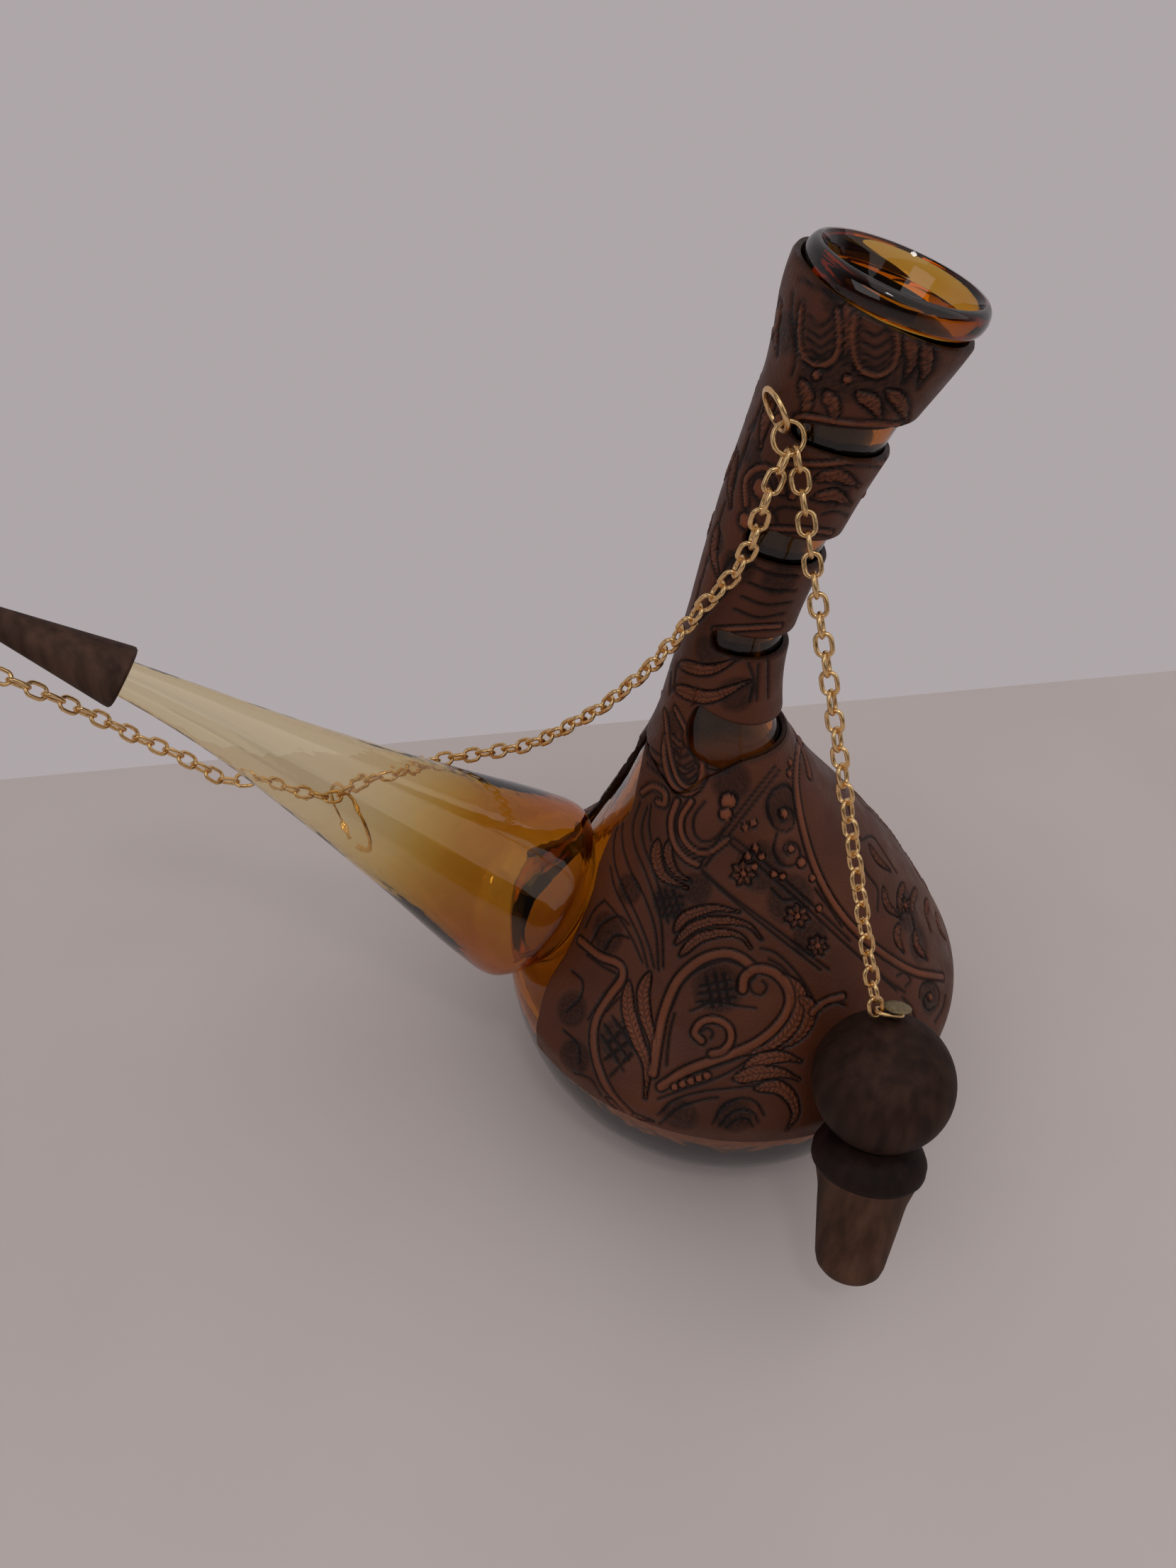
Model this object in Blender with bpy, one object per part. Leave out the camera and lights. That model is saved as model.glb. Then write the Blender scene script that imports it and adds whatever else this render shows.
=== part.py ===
"""Glass porron in a tooled leather jacket, with a chained wooden stopper and spout cap.

Metres, +Z up. The origin is the middle of the flat foot. The spout points to -X, and the
XZ plane divides the glass into two like halves.
"""
import bpy
import math
from mathutils import Matrix, Vector

# Glass body: belly and foot
BELLY_RADIUS = 0.0727
BELLY_HEIGHT = 0.0548
FOOT_RADIUS = 0.0417
GLASS_WALL = 0.003
FOOT_THICKNESS = 0.005

# Neck: its bent centre line and its radii at shares of the way up
NECK_TOP_X = 0.0151
NECK_TOP_Z = 0.2690
NECK_ANGLE = math.radians(20.9)
NECK_SETBACK = 0.0045
NECK_LOWER_PULL = 0.35
NECK_UPPER_PULL = 0.60
NECK_LEVEL_SHARE = 0.12
NECK_RADII = [(0.03, 0.0694), (0.12, 0.0563), (0.25, 0.0412), (0.40, 0.0258), (0.55, 0.0149),
              (0.70, 0.0120), (0.85, 0.0140), (1.00, 0.0182)]
BODY_ROWS = (0.0, 0.02, 0.06, 0.11, 0.17, 0.24, 0.31, 0.37, 0.43, 0.47, 0.50, 0.53, 0.58, 0.64,
             0.72, 0.80, 0.88, 0.965)

# Rolled rim of the mouth
RIM_ANGLE = math.radians(16.4)
RIM_RADIUS = 0.0218
RIM_WIDTH = 0.0042
RIM_HEIGHT = 0.0072
LIP_FLARE = 0.0022
THROAT_DEPTH = 0.007

# Spout: where it leaves the belly, its run and its radii measured from the root
SPOUT_RISE = math.radians(38.1)
SPOUT_ROOT_Z = 0.0684
SPOUT_ROOT_X = 0.0514
SPOUT_STRAIGHT = 0.115
SPOUT_BEND = 0.0402
SPOUT_TIP_ANGLE = math.radians(32.7)
SPOUT_RADII = [(0.000, 0.0215), (0.0125, 0.0215), (0.0175, 0.0265), (0.0245, 0.0306), (0.031, 0.0287),
               (0.062, 0.0212), (0.093, 0.0145), (0.124, 0.0088), (0.1552, 0.0051), (0.179, 0.0034)]
SPOUT_WALL = 0.0018
SPOUT_START = 0.004
SPOUT_STATIONS = (0.0125, 0.0155, 0.019, 0.0225, 0.027, 0.033, 0.05, 0.07, 0.095, 0.12, 0.14, 0.155)
BORE_STATIONS = (0.013, 0.018, 0.0245, 0.031, 0.05, 0.07, 0.095, 0.12, 0.14)
BORE_TIP_RADIUS = 0.0016
CUT_PAST = 0.004

# Leather covers
LEATHER = 0.0020
LEATHER_GAP = 0.0005
COVER_HEM_Z = 0.049
COVER_SEAM_GAP = 0.0006
COVER_SIDE = [(0.000, -59.0), (0.08, -65.0), (0.15, -67.0), (0.23, -69.0), (0.28, -74.0),
              (0.33, -78.0), (0.38, -72.0), (0.42, -80.0), (0.445, -89.0)]
COLLAR_SEAM = [(-90.0, 0.480), (-60.0, 0.470), (-37.0, 0.453), (-15.0, 0.488), (20.0, 0.512),
               (90.0, 0.500)]
SLEEVE_TOP = 0.955
WINDOWS = [(0.902, 0.930), (0.803, 0.832), (0.680, 0.710)]
LONG_WINDOW = (0.520, 0.600)
LONG_WINDOW_BACK = (0.474, 0.556)
WINDOW_FRONT_ANGLE = math.radians(-33.0)
WINDOW_CUT_LOW = -0.0015
WINDOW_CUT_HIGH = 0.006
WINDOW_END_SHARE = 0.35

# Stopper: ball, collar and plug on one axis
BALL_RADIUS = 0.0195
BALL_SEAT = (0.0625, 23.2)
STOPPER_LEAN = math.radians(24.0)
STOPPER_AZIMUTH = math.radians(-12.0)
COLLAR_RADIUS = 0.0167
COLLAR_TOP = 0.0178
COLLAR_BOTTOM = 0.0277
PLUG_LENGTH = 0.0365
PLUG_TOP_RADIUS = 0.0148
PLUG_WAIST_RADIUS = 0.0118
PLUG_END_RADIUS = 0.0100
TENON_RADIUS = 0.0040
TENON_IN_BALL = 0.0100
COLLAR_CHAMFER = 0.0058
BORE_PAST = 0.002

# Nails
NAIL_HEAD_RADIUS = 0.0039
NAIL_HEAD = 0.0008
NAIL_RADIUS = 0.0008
NAIL_LENGTH = 0.0090
NAIL_POINT = 0.0020
NAIL_STAND = 0.0028
NAIL_LINK_HALF = 0.0040
NAIL_LINK_LIFT = 0.00125
NAIL_LINK_TILT = math.radians(9.0)
CAP_NAIL_HEAD_RADIUS = 0.0022

# Spout cap
CAP_MOUTH_RADIUS = 0.0092
CAP_TIP_RADIUS = 0.0028
CAP_LENGTH = 0.042
CAP_EDGE = 0.0018
CAP_TIP_EDGE = 0.0012
SOCKET_DEPTH = 0.0245

# Rings and chain
RING_WIRE = 0.0014
NECK_RING_RADIUS = 0.0050
NECK_RING_LEAN = math.radians(35.0)
NECK_RING_TURN = math.radians(18.0)
NECK_RING_SEAT = (0.905, -56.0)
STOPPER_CHAIN_HOOK = -92.0
CARRIER_LENGTH = 0.0086
CARRIER_WIDTH = 0.0082
CARRIER_SPREAD = 0.0012
SPARE_RING_RADIUS = 0.0125
SPARE_RING_GAP = math.radians(24.0)
CHAIN_WIRE = 0.0012
LINK_WIDTH = 0.0051
LINK_PITCH = 0.00485
LINK_BITE = 0.00035
LINK_END_SHARE = 0.6

FIT = 0.0003
GLASS_SIDES = 36
HOLLOW_SIDES = 26
SPOUT_SIDES = 20
TURNED_SIDES = 24

# Route of the cap's chain from the neck ring to the cap's nail, behind the spout
CAP_CHAIN_ROUTE = [(-0.0115, -0.0208, 0.2280), (-0.0132, -0.0198, 0.2168), (-0.0163, -0.0175, 0.2062),
                   (-0.0221, -0.0143, 0.1953), (-0.0275, -0.0105, 0.1832), (-0.0334, -0.0052, 0.1696),
                   (-0.0398, -0.0003, 0.1583), (-0.0453, 0.0040, 0.1488), (-0.0517, 0.0082, 0.1407),
                   (-0.0575, 0.0113, 0.1340), (-0.0639, 0.0146, 0.1275), (-0.0704, 0.0174, 0.1228),
                   (-0.0771, 0.0200, 0.1192), (-0.0856, 0.0224, 0.1155), (-0.0942, 0.0242, 0.1124),
                   (-0.1012, 0.0252, 0.1098), (-0.1079, 0.0247, 0.1068), (-0.1166, 0.0228, 0.1056),
                   (-0.1233, 0.0204, 0.1032), (-0.1276, 0.0183, 0.1020), (-0.1337, 0.0163, 0.1047),
                   (-0.1413, 0.0138, 0.1099), (-0.1489, 0.0116, 0.1154), (-0.1570, 0.0100, 0.1167),
                   (-0.1637, 0.0085, 0.1238), (-0.1701, 0.0070, 0.1307), (-0.1764, 0.0048, 0.1370),
                   (-0.1822, 0.0020, 0.1448), (-0.1880, -0.0008, 0.1520), (-0.1940, -0.0036, 0.1592),
                   (-0.2005, -0.0058, 0.1655), (-0.2075, -0.0058, 0.1700), (-0.2135, -0.0042, 0.1735),
                   (-0.2158, -0.0022, 0.1785)]


def clear_scene():
    """Empty the scene."""
    for item in list(bpy.data.objects):
        bpy.data.objects.remove(item, do_unlink=True)


def material(name, color, roughness, metallic=0.0, alpha=1.0):
    """A plain Principled material."""
    mat = bpy.data.materials.new(name)
    mat.use_nodes = True
    shader = mat.node_tree.nodes["Principled BSDF"]
    shader.inputs["Base Color"].default_value = (*color, 1.0)
    shader.inputs["Roughness"].default_value = roughness
    shader.inputs["Metallic"].default_value = metallic
    shader.inputs["Alpha"].default_value = alpha
    return mat


def make_object(name, verts, faces, mat=None, smooth_angle=35.0):
    """An object from points and faces, with its normals turned outward by the caller."""
    mesh = bpy.data.meshes.new(name)
    mesh.from_pydata([tuple(v) for v in verts], [], faces)
    mesh.update()
    obj = bpy.data.objects.new(name, mesh)
    bpy.context.scene.collection.objects.link(obj)
    if mat:
        mesh.materials.append(mat)
    mesh.shade_smooth()
    mesh.set_sharp_from_angle(angle=math.radians(smooth_angle))
    return obj


def set_origin(names, point):
    """Move the origins of some objects to a joint, leaving their shapes in place."""
    for name in names:
        obj = bpy.data.objects[name]
        obj.data.transform(Matrix.Translation(-point))
        obj.location = point


def as_cutter(obj):
    """Hide a cutting or joining shape."""
    obj.hide_render = True
    obj.display_type = 'WIRE'
    obj.hide_set(True)
    return obj


def boolean(obj, other, operation):
    """Add an exact Boolean with another shape."""
    mod = obj.modifiers.new(operation.title(), 'BOOLEAN')
    mod.operation = operation
    mod.solver = 'EXACT'
    mod.object = other


def smooth_value(stations, place, level_start=False):
    """A smooth curve through (place, value) stations that doesn't overshoot them."""
    xs = [s[0] for s in stations]
    ys = [s[1] for s in stations]
    if place <= xs[0]:
        return ys[0]
    if place >= xs[-1]:
        return ys[-1]
    rates = [(ys[i + 1] - ys[i]) / (xs[i + 1] - xs[i]) for i in range(len(xs) - 1)]

    def slope(i):
        if i == 0:
            return 0.0 if level_start else rates[0]
        if i == len(xs) - 1:
            return rates[-1]
        if rates[i - 1] * rates[i] <= 0:
            return 0.0
        return 2 * rates[i - 1] * rates[i] / (rates[i - 1] + rates[i])

    i = max(k for k in range(len(xs) - 1) if xs[k] <= place)
    width = xs[i + 1] - xs[i]
    u = (place - xs[i]) / width
    h00 = 2 * u ** 3 - 3 * u ** 2 + 1
    h10 = u ** 3 - 2 * u ** 2 + u
    h01 = 3 * u ** 2 - 2 * u ** 3
    h11 = u ** 3 - u ** 2
    return h00 * ys[i] + h10 * width * slope(i) + h01 * ys[i + 1] + h11 * width * slope(i + 1)


def neck_frame(t):
    """Point and direction of the neck's centre line at share t of its way."""
    height = NECK_TOP_Z - BELLY_HEIGHT
    end_dir = Vector((math.sin(NECK_ANGLE), 0, math.cos(NECK_ANGLE)))
    p0 = Vector((0, 0, BELLY_HEIGHT))
    p1 = Vector((-NECK_SETBACK, 0, BELLY_HEIGHT + height * NECK_LOWER_PULL))
    p3 = Vector((NECK_TOP_X, 0, NECK_TOP_Z))
    p2 = p3 - end_dir * height * NECK_UPPER_PULL
    s = 1 - t
    point = p0 * s ** 3 + p1 * 3 * s * s * t + p2 * 3 * s * t * t + p3 * t ** 3
    along = (p1 - p0) * 3 * s * s + (p2 - p1) * 6 * s * t + (p3 - p2) * 3 * t * t
    upright = Vector((0, 0, 1))
    return point, upright.lerp(along.normalized(), min(1.0, t / NECK_LEVEL_SHARE)).normalized()


def glass_radius(t):
    """Outer radius of the glass at share t of the neck's way."""
    return smooth_value([(0.0, BELLY_RADIUS)] + NECK_RADII, t, True)


def ring_point(centre, along, radius, phi):
    """A point of a ring square to a line; phi runs from -Y towards +X, in radians."""
    side = Vector((along.z, 0, -along.x))
    return centre + radius * (side * math.sin(phi) - Vector((0, 1, 0)) * math.cos(phi))


def skin_point(t, phi):
    """A point of the glass; t below 0 is a share of the way down to the foot."""
    if t >= 0:
        centre, along = neck_frame(t)
        return ring_point(centre, along, glass_radius(t), phi)
    angle = -t * math.pi / 2
    radius = FOOT_RADIUS + (BELLY_RADIUS - FOOT_RADIUS) * math.cos(angle)
    centre = Vector((0, 0, BELLY_HEIGHT * (1 - math.sin(angle))))
    return ring_point(centre, Vector((0, 0, 1)), radius, phi)


def skin_normal(t, phi):
    """The glass's outward direction at a place on it."""
    step = 0.002
    across = skin_point(t, phi + step) - skin_point(t, phi - step)
    upward = skin_point(t + step, phi) - skin_point(t - step, phi)
    return across.cross(upward).normalized()


def loft(name, rings, mat=None):
    """A closed solid through rings of as many points each, with flat ends."""
    count = len(rings[0])
    verts = [p for ring in rings for p in ring]
    faces = []
    for row in range(len(rings) - 1):
        for k in range(count):
            nxt = (k + 1) % count
            low = row * count
            high = low + count
            faces.append((low + k, low + nxt, high + nxt, high + k))
    last = (len(rings) - 1) * count
    faces.append(tuple(reversed(range(count))))
    faces.append(tuple(last + k for k in range(count)))
    return make_object(name, verts, faces, mat)


def ring_of(centre, along, radius, sides):
    """The points of one ring."""
    return [ring_point(centre, along, radius, 2 * math.pi * k / sides) for k in range(sides)]


def rim_ring(radius, lift, sides):
    """A ring of the rim's own tilted frame."""
    along = Vector((math.sin(RIM_ANGLE), 0, math.cos(RIM_ANGLE)))
    centre = Vector((NECK_TOP_X, 0, NECK_TOP_Z)) + along * lift
    return ring_of(centre, along, radius, sides)


def body_outside(mat):
    """Belly, neck and rolled rim as one solid."""
    rings = []
    for angle in (90, 68, 46, 24):
        rings.append([skin_point(-angle / 90, 2 * math.pi * k / GLASS_SIDES) for k in range(GLASS_SIDES)])
    for t in BODY_ROWS:
        rings.append([skin_point(t, 2 * math.pi * k / GLASS_SIDES) for k in range(GLASS_SIDES)])
    middle = RIM_RADIUS - RIM_WIDTH / 2
    for angle in (-75, -40, 0, 40, 70):
        turn = math.radians(angle)
        radius = middle + RIM_WIDTH / 2 * math.cos(turn)
        rings.append(rim_ring(radius, RIM_HEIGHT / 2 * math.sin(turn), GLASS_SIDES))
    return loft("glass_vessel", rings, mat)


def body_hollow():
    """The space inside belly and neck, running out through the mouth."""
    rings = []
    floor = (BELLY_HEIGHT - FOOT_THICKNESS) / BELLY_HEIGHT
    for share in (1.0, 0.7, 0.35):
        angle = share * math.pi / 2
        inner = BELLY_RADIUS - GLASS_WALL
        foot = FOOT_RADIUS - GLASS_WALL
        radius = foot + (inner - foot) * math.cos(angle)
        centre = Vector((0, 0, BELLY_HEIGHT * (1 - floor * math.sin(angle))))
        rings.append(ring_of(centre, Vector((0, 0, 1)), radius, HOLLOW_SIDES))
    for t in (0.0, 0.06, 0.13, 0.22, 0.32, 0.42, 0.53, 0.68, 0.82, 0.92):
        ring = []
        for k in range(HOLLOW_SIDES):
            phi = 2 * math.pi * k / HOLLOW_SIDES
            ring.append(skin_point(t, phi) - skin_normal(t, phi) * GLASS_WALL)
        rings.append(ring)
    lip = RIM_RADIUS - RIM_WIDTH
    rings.append(rim_ring(lip - LIP_FLARE, -THROAT_DEPTH, HOLLOW_SIDES))
    rings.append(rim_ring(lip, 0.0, HOLLOW_SIDES))
    rings.append(rim_ring(lip + LIP_FLARE / 3, RIM_HEIGHT / 3, HOLLOW_SIDES))
    rings.append(rim_ring(lip + LIP_FLARE, RIM_HEIGHT * 0.6, HOLLOW_SIDES))
    return as_cutter(loft("hollow_cutter", rings))


def spout_frame(s):
    """Point and direction of the spout's centre line, s along it from its start."""
    start = Vector((-SPOUT_ROOT_X, 0, SPOUT_ROOT_Z))
    along = Vector((-math.cos(SPOUT_RISE), 0, math.sin(SPOUT_RISE)))
    if s <= SPOUT_STRAIGHT:
        return start + along * s, along
    bend_radius = SPOUT_BEND / (SPOUT_RISE - SPOUT_TIP_ANGLE)
    run = min(s - SPOUT_STRAIGHT, SPOUT_BEND)
    angle = SPOUT_RISE - run / bend_radius
    point = start + along * SPOUT_STRAIGHT
    point.x -= bend_radius * (math.sin(SPOUT_RISE) - math.sin(angle))
    point.z += bend_radius * (math.cos(angle) - math.cos(SPOUT_RISE))
    along = Vector((-math.cos(angle), 0, math.sin(angle)))
    return point + along * max(0.0, s - SPOUT_STRAIGHT - SPOUT_BEND), along


def spout_rings(places, shrink, least, sides):
    """Rings of the spout's outside, or of its bore when shrunk."""
    rings = []
    for s in places:
        centre, along = spout_frame(s)
        radius = max(least, smooth_value(SPOUT_RADII, s) - shrink)
        rings.append(ring_of(centre, along, radius, sides))
    return rings


SPOUT_END = SPOUT_RADII[-1][0]


def spout_outside():
    """The spout's outer cone, starting inside the belly's wall."""
    places = (SPOUT_START, *SPOUT_STATIONS, SPOUT_END)
    return as_cutter(loft("spout_joiner", spout_rings(places, 0.0, 0.0, SPOUT_SIDES)))


def spout_bore():
    """The spout's bore, from the belly's hollow out through the tip."""
    places = (-CUT_PAST, *BORE_STATIONS, SPOUT_END - CUT_PAST, SPOUT_END + CUT_PAST)
    return as_cutter(loft("bore_cutter", spout_rings(places, SPOUT_WALL, BORE_TIP_RADIUS, SPOUT_SIDES)))


def glass_vessel(mat):
    """The blown vessel: body and spout joined, then hollowed."""
    body = body_outside(mat)
    boolean(body, spout_outside(), 'UNION')
    boolean(body, body_hollow(), 'DIFFERENCE')
    boolean(body, spout_bore(), 'DIFFERENCE')
    return body


def sheet(name, rows, columns, place, mat, closed):
    """A thick leather sheet over a grid of places (t, phi) on the glass."""
    inner = []
    outer = []
    for i in range(rows):
        for j in range(columns):
            t, phi = place(i, j / (columns if closed else columns - 1))
            base = skin_point(t, phi)
            out = skin_normal(t, phi)
            inner.append(base + out * LEATHER_GAP)
            outer.append(base + out * (LEATHER_GAP + LEATHER))
    size = rows * columns
    faces = []
    spans = columns if closed else columns - 1
    for i in range(rows - 1):
        for j in range(spans):
            a = i * columns + j
            b = i * columns + (j + 1) % columns
            c = b + columns
            d = a + columns
            faces.append((size + a, size + b, size + c, size + d))
            faces.append((d, c, b, a))
    for j in range(spans):
        k = (j + 1) % columns
        top = (rows - 1) * columns
        faces.append((j, k, size + k, size + j))
        faces.append((top + k, top + j, size + top + j, size + top + k))
    if not closed:
        for i in range(rows - 1):
            a = i * columns
            b = a + columns
            c = a + columns - 1
            d = b + columns - 1
            faces.append((b, a, size + a, size + b))
            faces.append((c, d, size + d, size + c))
    return make_object(name, inner + outer, faces, mat)


def mirrored(phi_degrees):
    """The like angle on the front half, from -90 at the spout to 90 opposite it."""
    turned = (phi_degrees + 90) % 360 - 90
    return turned if turned <= 90 else 180 - turned


def seam_height(phi):
    """Where the belly cover meets the neck sleeve, as a share of the neck's way."""
    return smooth_value(COLLAR_SEAM, mirrored(math.degrees(phi)))


def belly_cover(mat):
    """The jacket of the belly, open round the spout's root and seamed above it."""
    hem = -math.asin(1 - COVER_HEM_Z / BELLY_HEIGHT) / (math.pi / 2)
    rows = [hem] + [t for t in BODY_ROWS if t < COVER_SIDE[-1][0] - 0.01] + [None]

    def place(row, across):
        t = COVER_SIDE[-1][0] if rows[row] is None else rows[row]
        side = math.radians(smooth_value(COVER_SIDE, t)) + COVER_SEAM_GAP / 2 / glass_radius(max(t, 0.0))
        phi = side + (math.pi - 2 * side) * across
        if rows[row] is None:
            t = seam_height(phi) - COVER_SEAM_GAP / 2 / (NECK_TOP_Z - BELLY_HEIGHT)
        return t, phi

    return sheet("belly_cover", len(rows), 33, place, mat, False)


def window_cutter(name, front, back):
    """A round-ended slot through the back of the sleeve, between two pairs of neck shares."""
    rings = []
    steps = 8
    for k in range(steps + 1):
        share = k / steps
        phi = WINDOW_FRONT_ANGLE + (math.pi - 2 * WINDOW_FRONT_ANGLE) * share
        blend = math.sin(math.pi * share)
        low = front[0] + (back[0] - front[0]) * blend
        high = front[1] + (back[1] - front[1]) * blend
        narrow = WINDOW_END_SHARE if k in (0, steps) else 1.0
        middle = (low + high) / 2
        half = (high - low) / 2 * narrow
        ring = []
        for t, lift in ((middle - half, WINDOW_CUT_LOW), (middle - half, WINDOW_CUT_HIGH),
                        (middle + half, WINDOW_CUT_HIGH), (middle + half, WINDOW_CUT_LOW)):
            ring.append(skin_point(t, phi) + skin_normal(t, phi) * lift)
        rings.append(ring)
    return as_cutter(loft(name, rings[::-1]))


def neck_sleeve(mat):
    """The jacket of the neck, with its lens-shaped windows and the ring's channel."""
    rows = [None] + [t for t in BODY_ROWS if 0.54 < t < SLEEVE_TOP] + [SLEEVE_TOP]

    def place(row, across):
        phi = 2 * math.pi * across
        if rows[row] is None:
            return seam_height(phi) + COVER_SEAM_GAP / 2 / (NECK_TOP_Z - BELLY_HEIGHT), phi
        return rows[row], phi

    sleeve = sheet("neck_sleeve", len(rows), 24, place, mat, True)
    for k, (low, high) in enumerate(WINDOWS):
        boolean(sleeve, window_cutter("window_cutter_%d" % k, (low, high), (low, high)), 'DIFFERENCE')
    boolean(sleeve, window_cutter("window_cutter_long", LONG_WINDOW, LONG_WINDOW_BACK), 'DIFFERENCE')
    centre, normal, across = neck_ring_frame()
    channel = torus("ring_channel", centre, normal, across, NECK_RING_RADIUS, RING_WIRE / 2 + FIT, 18, 6)
    boolean(sleeve, as_cutter(channel), 'DIFFERENCE')
    return sleeve


def turned(name, start, along, profile, mat, sides=TURNED_SIDES):
    """A turned solid; the profile holds (distance along, radius) from its start."""
    side = along.orthogonal().normalized()
    other = along.cross(side)
    rings = []
    for distance, radius in profile:
        ring = []
        for k in range(sides):
            angle = 2 * math.pi * k / sides
            spoke = side * math.cos(angle) + other * math.sin(angle)
            ring.append(start + along * distance + spoke * radius)
        rings.append(ring)
    return loft(name, rings, mat)


def torus(name, centre, normal, across, radius, wire, steps, sides, mat=None):
    """A closed round wire ring, its first point lying across from its centre."""
    other = normal.cross(across)
    verts = []
    for i in range(steps):
        angle = 2 * math.pi * i / steps
        spoke = across * math.cos(angle) + other * math.sin(angle)
        for j in range(sides):
            turn = 2 * math.pi * j / sides
            verts.append(centre + spoke * (radius + wire * math.cos(turn)) + normal * wire * math.sin(turn))
    faces = []
    for i in range(steps):
        for j in range(sides):
            a = i * sides + j
            b = i * sides + (j + 1) % sides
            c = (i + 1) % steps * sides + (j + 1) % sides
            d = (i + 1) % steps * sides + j
            faces.append((a, d, c, b))
    return make_object(name, verts, faces, mat, 60.0)


def neck_ring_frame():
    """Centre, normal and the direction from the leather to the centre of the neck ring."""
    t, degrees = NECK_RING_SEAT
    phi = math.radians(degrees)
    out = skin_normal(t, phi)
    seat = skin_point(t, phi) + out * (LEATHER_GAP + LEATHER * 0.5)
    level = skin_point(t, phi + 0.02) - skin_point(t, phi - 0.02)
    level.normalize()
    level = Matrix.Rotation(NECK_RING_TURN, 3, -out) @ level
    upward = out.cross(level)
    away = upward * math.cos(NECK_RING_LEAN) + out * math.sin(NECK_RING_LEAN)
    return seat + away * NECK_RING_RADIUS, level.cross(away).normalized(), away


def neck_ring(mat):
    """The wire ring pierced through the sleeve."""
    centre, normal, across = neck_ring_frame()
    return torus("neck_ring", centre, normal, across, NECK_RING_RADIUS, RING_WIRE / 2, 18, 5, mat)


def ring_hook(degrees):
    """A point on the neck ring, turned from its outermost point, and the wire's direction there."""
    centre, normal, across = neck_ring_frame()
    angle = math.radians(degrees)
    other = normal.cross(across)
    spoke = across * math.cos(angle) + other * math.sin(angle)
    wire = normal.cross(spoke).normalized()
    return centre + spoke * NECK_RING_RADIUS, wire


def link_points(centre, along, normal, half, width):
    """Rings of wire points for one oval link; half is from its middle to its end wire."""
    across = normal.cross(along).normalized()
    side = (width - CHAIN_WIRE) / 2
    end = side * LINK_END_SHARE
    route = [(half, -end), (half, end), (0.0, side), (-half, end), (-half, -end), (0.0, -side)]
    verts = []
    for u, v in route:
        middle = centre + along * u + across * v
        spoke = (along * u / half + across * v / side).normalized()
        for j in range(4):
            turn = math.pi * j / 2
            verts.append(middle + (spoke * math.cos(turn) + normal * math.sin(turn)) * CHAIN_WIRE / 2)
    return verts


def links_mesh(name, places, half, mat=None, width=LINK_WIDTH):
    """Separate links as one mesh."""
    verts = []
    faces = []
    for centre, along, normal in places:
        base = len(verts)
        ring = link_points(centre, along, normal, half, width)
        verts.extend(ring)
        for i in range(6):
            for j in range(4):
                a = base + i * 4 + j
                b = base + i * 4 + (j + 1) % 4
                c = base + (i + 1) % 6 * 4 + (j + 1) % 4
                d = base + (i + 1) % 6 * 4 + j
                faces.append((a, d, c, b))
    return make_object(name, verts, faces, mat, 80.0)


def smooth_route(points, per_span=12):
    """Many points on a smooth curve through a few."""
    pts = [Vector(p) for p in points]
    ends = [pts[0] * 2 - pts[1]] + pts + [pts[-1] * 2 - pts[-2]]
    out = []
    for i in range(1, len(ends) - 2):
        a, b, c, d = ends[i - 1:i + 3]
        for k in range(per_span):
            u = k / per_span
            out.append(0.5 * (2 * b + (c - a) * u + (2 * a - 5 * b + 4 * c - d) * u * u
                              + (3 * b - a - 3 * c + d) * u ** 3))
    out.append(pts[-1])
    return out


def chain(name, points, first_wire, last_wire, mat):
    """A run of links that bear on each other, from one bar across it to another."""
    route = smooth_route(points)
    lengths = [0.0]
    for a, b in zip(route, route[1:]):
        lengths.append(lengths[-1] + (b - a).length)
    reach = RING_WIRE / 2 + CHAIN_WIRE / 2 + FIT
    total = lengths[-1]
    best = None
    for count in range(2, 120):
        pitch = (total + 2 * reach - CHAIN_WIRE + LINK_BITE) / count
        if best is None or abs(pitch - LINK_PITCH) < abs(best[1] - LINK_PITCH):
            best = (count, pitch)
    count, pitch = best
    half = (pitch + CHAIN_WIRE - LINK_BITE) / 2
    places = []
    normal = first_wire.normalized()
    frames = []
    for i in range(count):
        s = min(max(half - reach + i * pitch, 0.0), total)
        centre = at_length(route, lengths, s)
        ahead = min(total, s + pitch * 0.5)
        behind = max(0.0, s - pitch * 0.5)
        along = (at_length(route, lengths, ahead) - at_length(route, lengths, behind)).normalized()
        normal = (normal - along * normal.dot(along)).normalized()
        frames.append((centre, along, normal.copy()))
    quarter = 0 if (count - 1) % 2 == 0 else 1
    end_centre, end_along, end_normal = frames[-1]
    goal = last_wire - end_along * last_wire.dot(end_along)
    goal.normalize()
    turn = math.atan2(end_normal.cross(goal).dot(end_along), end_normal.dot(goal))
    turn -= quarter * math.pi / 2
    turn = (turn + math.pi / 2) % math.pi - math.pi / 2
    for i, (centre, along, normal) in enumerate(frames):
        angle = i * math.pi / 2 + turn * i / (count - 1)
        places.append((centre, along, Matrix.Rotation(angle, 3, along) @ normal))
    odd = links_mesh(name, places[0::2], half, mat)
    even = as_cutter(links_mesh(name + "_other_links", places[1::2], half))
    boolean(odd, even, 'UNION')
    print(name, "links", count, "pitch", round(pitch * 1000, 3), "length", round(total * 1000, 1))
    return places


def at_length(route, lengths, s):
    """The point of a route at a length along it."""
    k = max(j for j in range(len(lengths)) if lengths[j] <= s)
    k = min(k, len(route) - 2)
    u = (s - lengths[k]) / (lengths[k + 1] - lengths[k])
    return route[k].lerp(route[k + 1], u)


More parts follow.
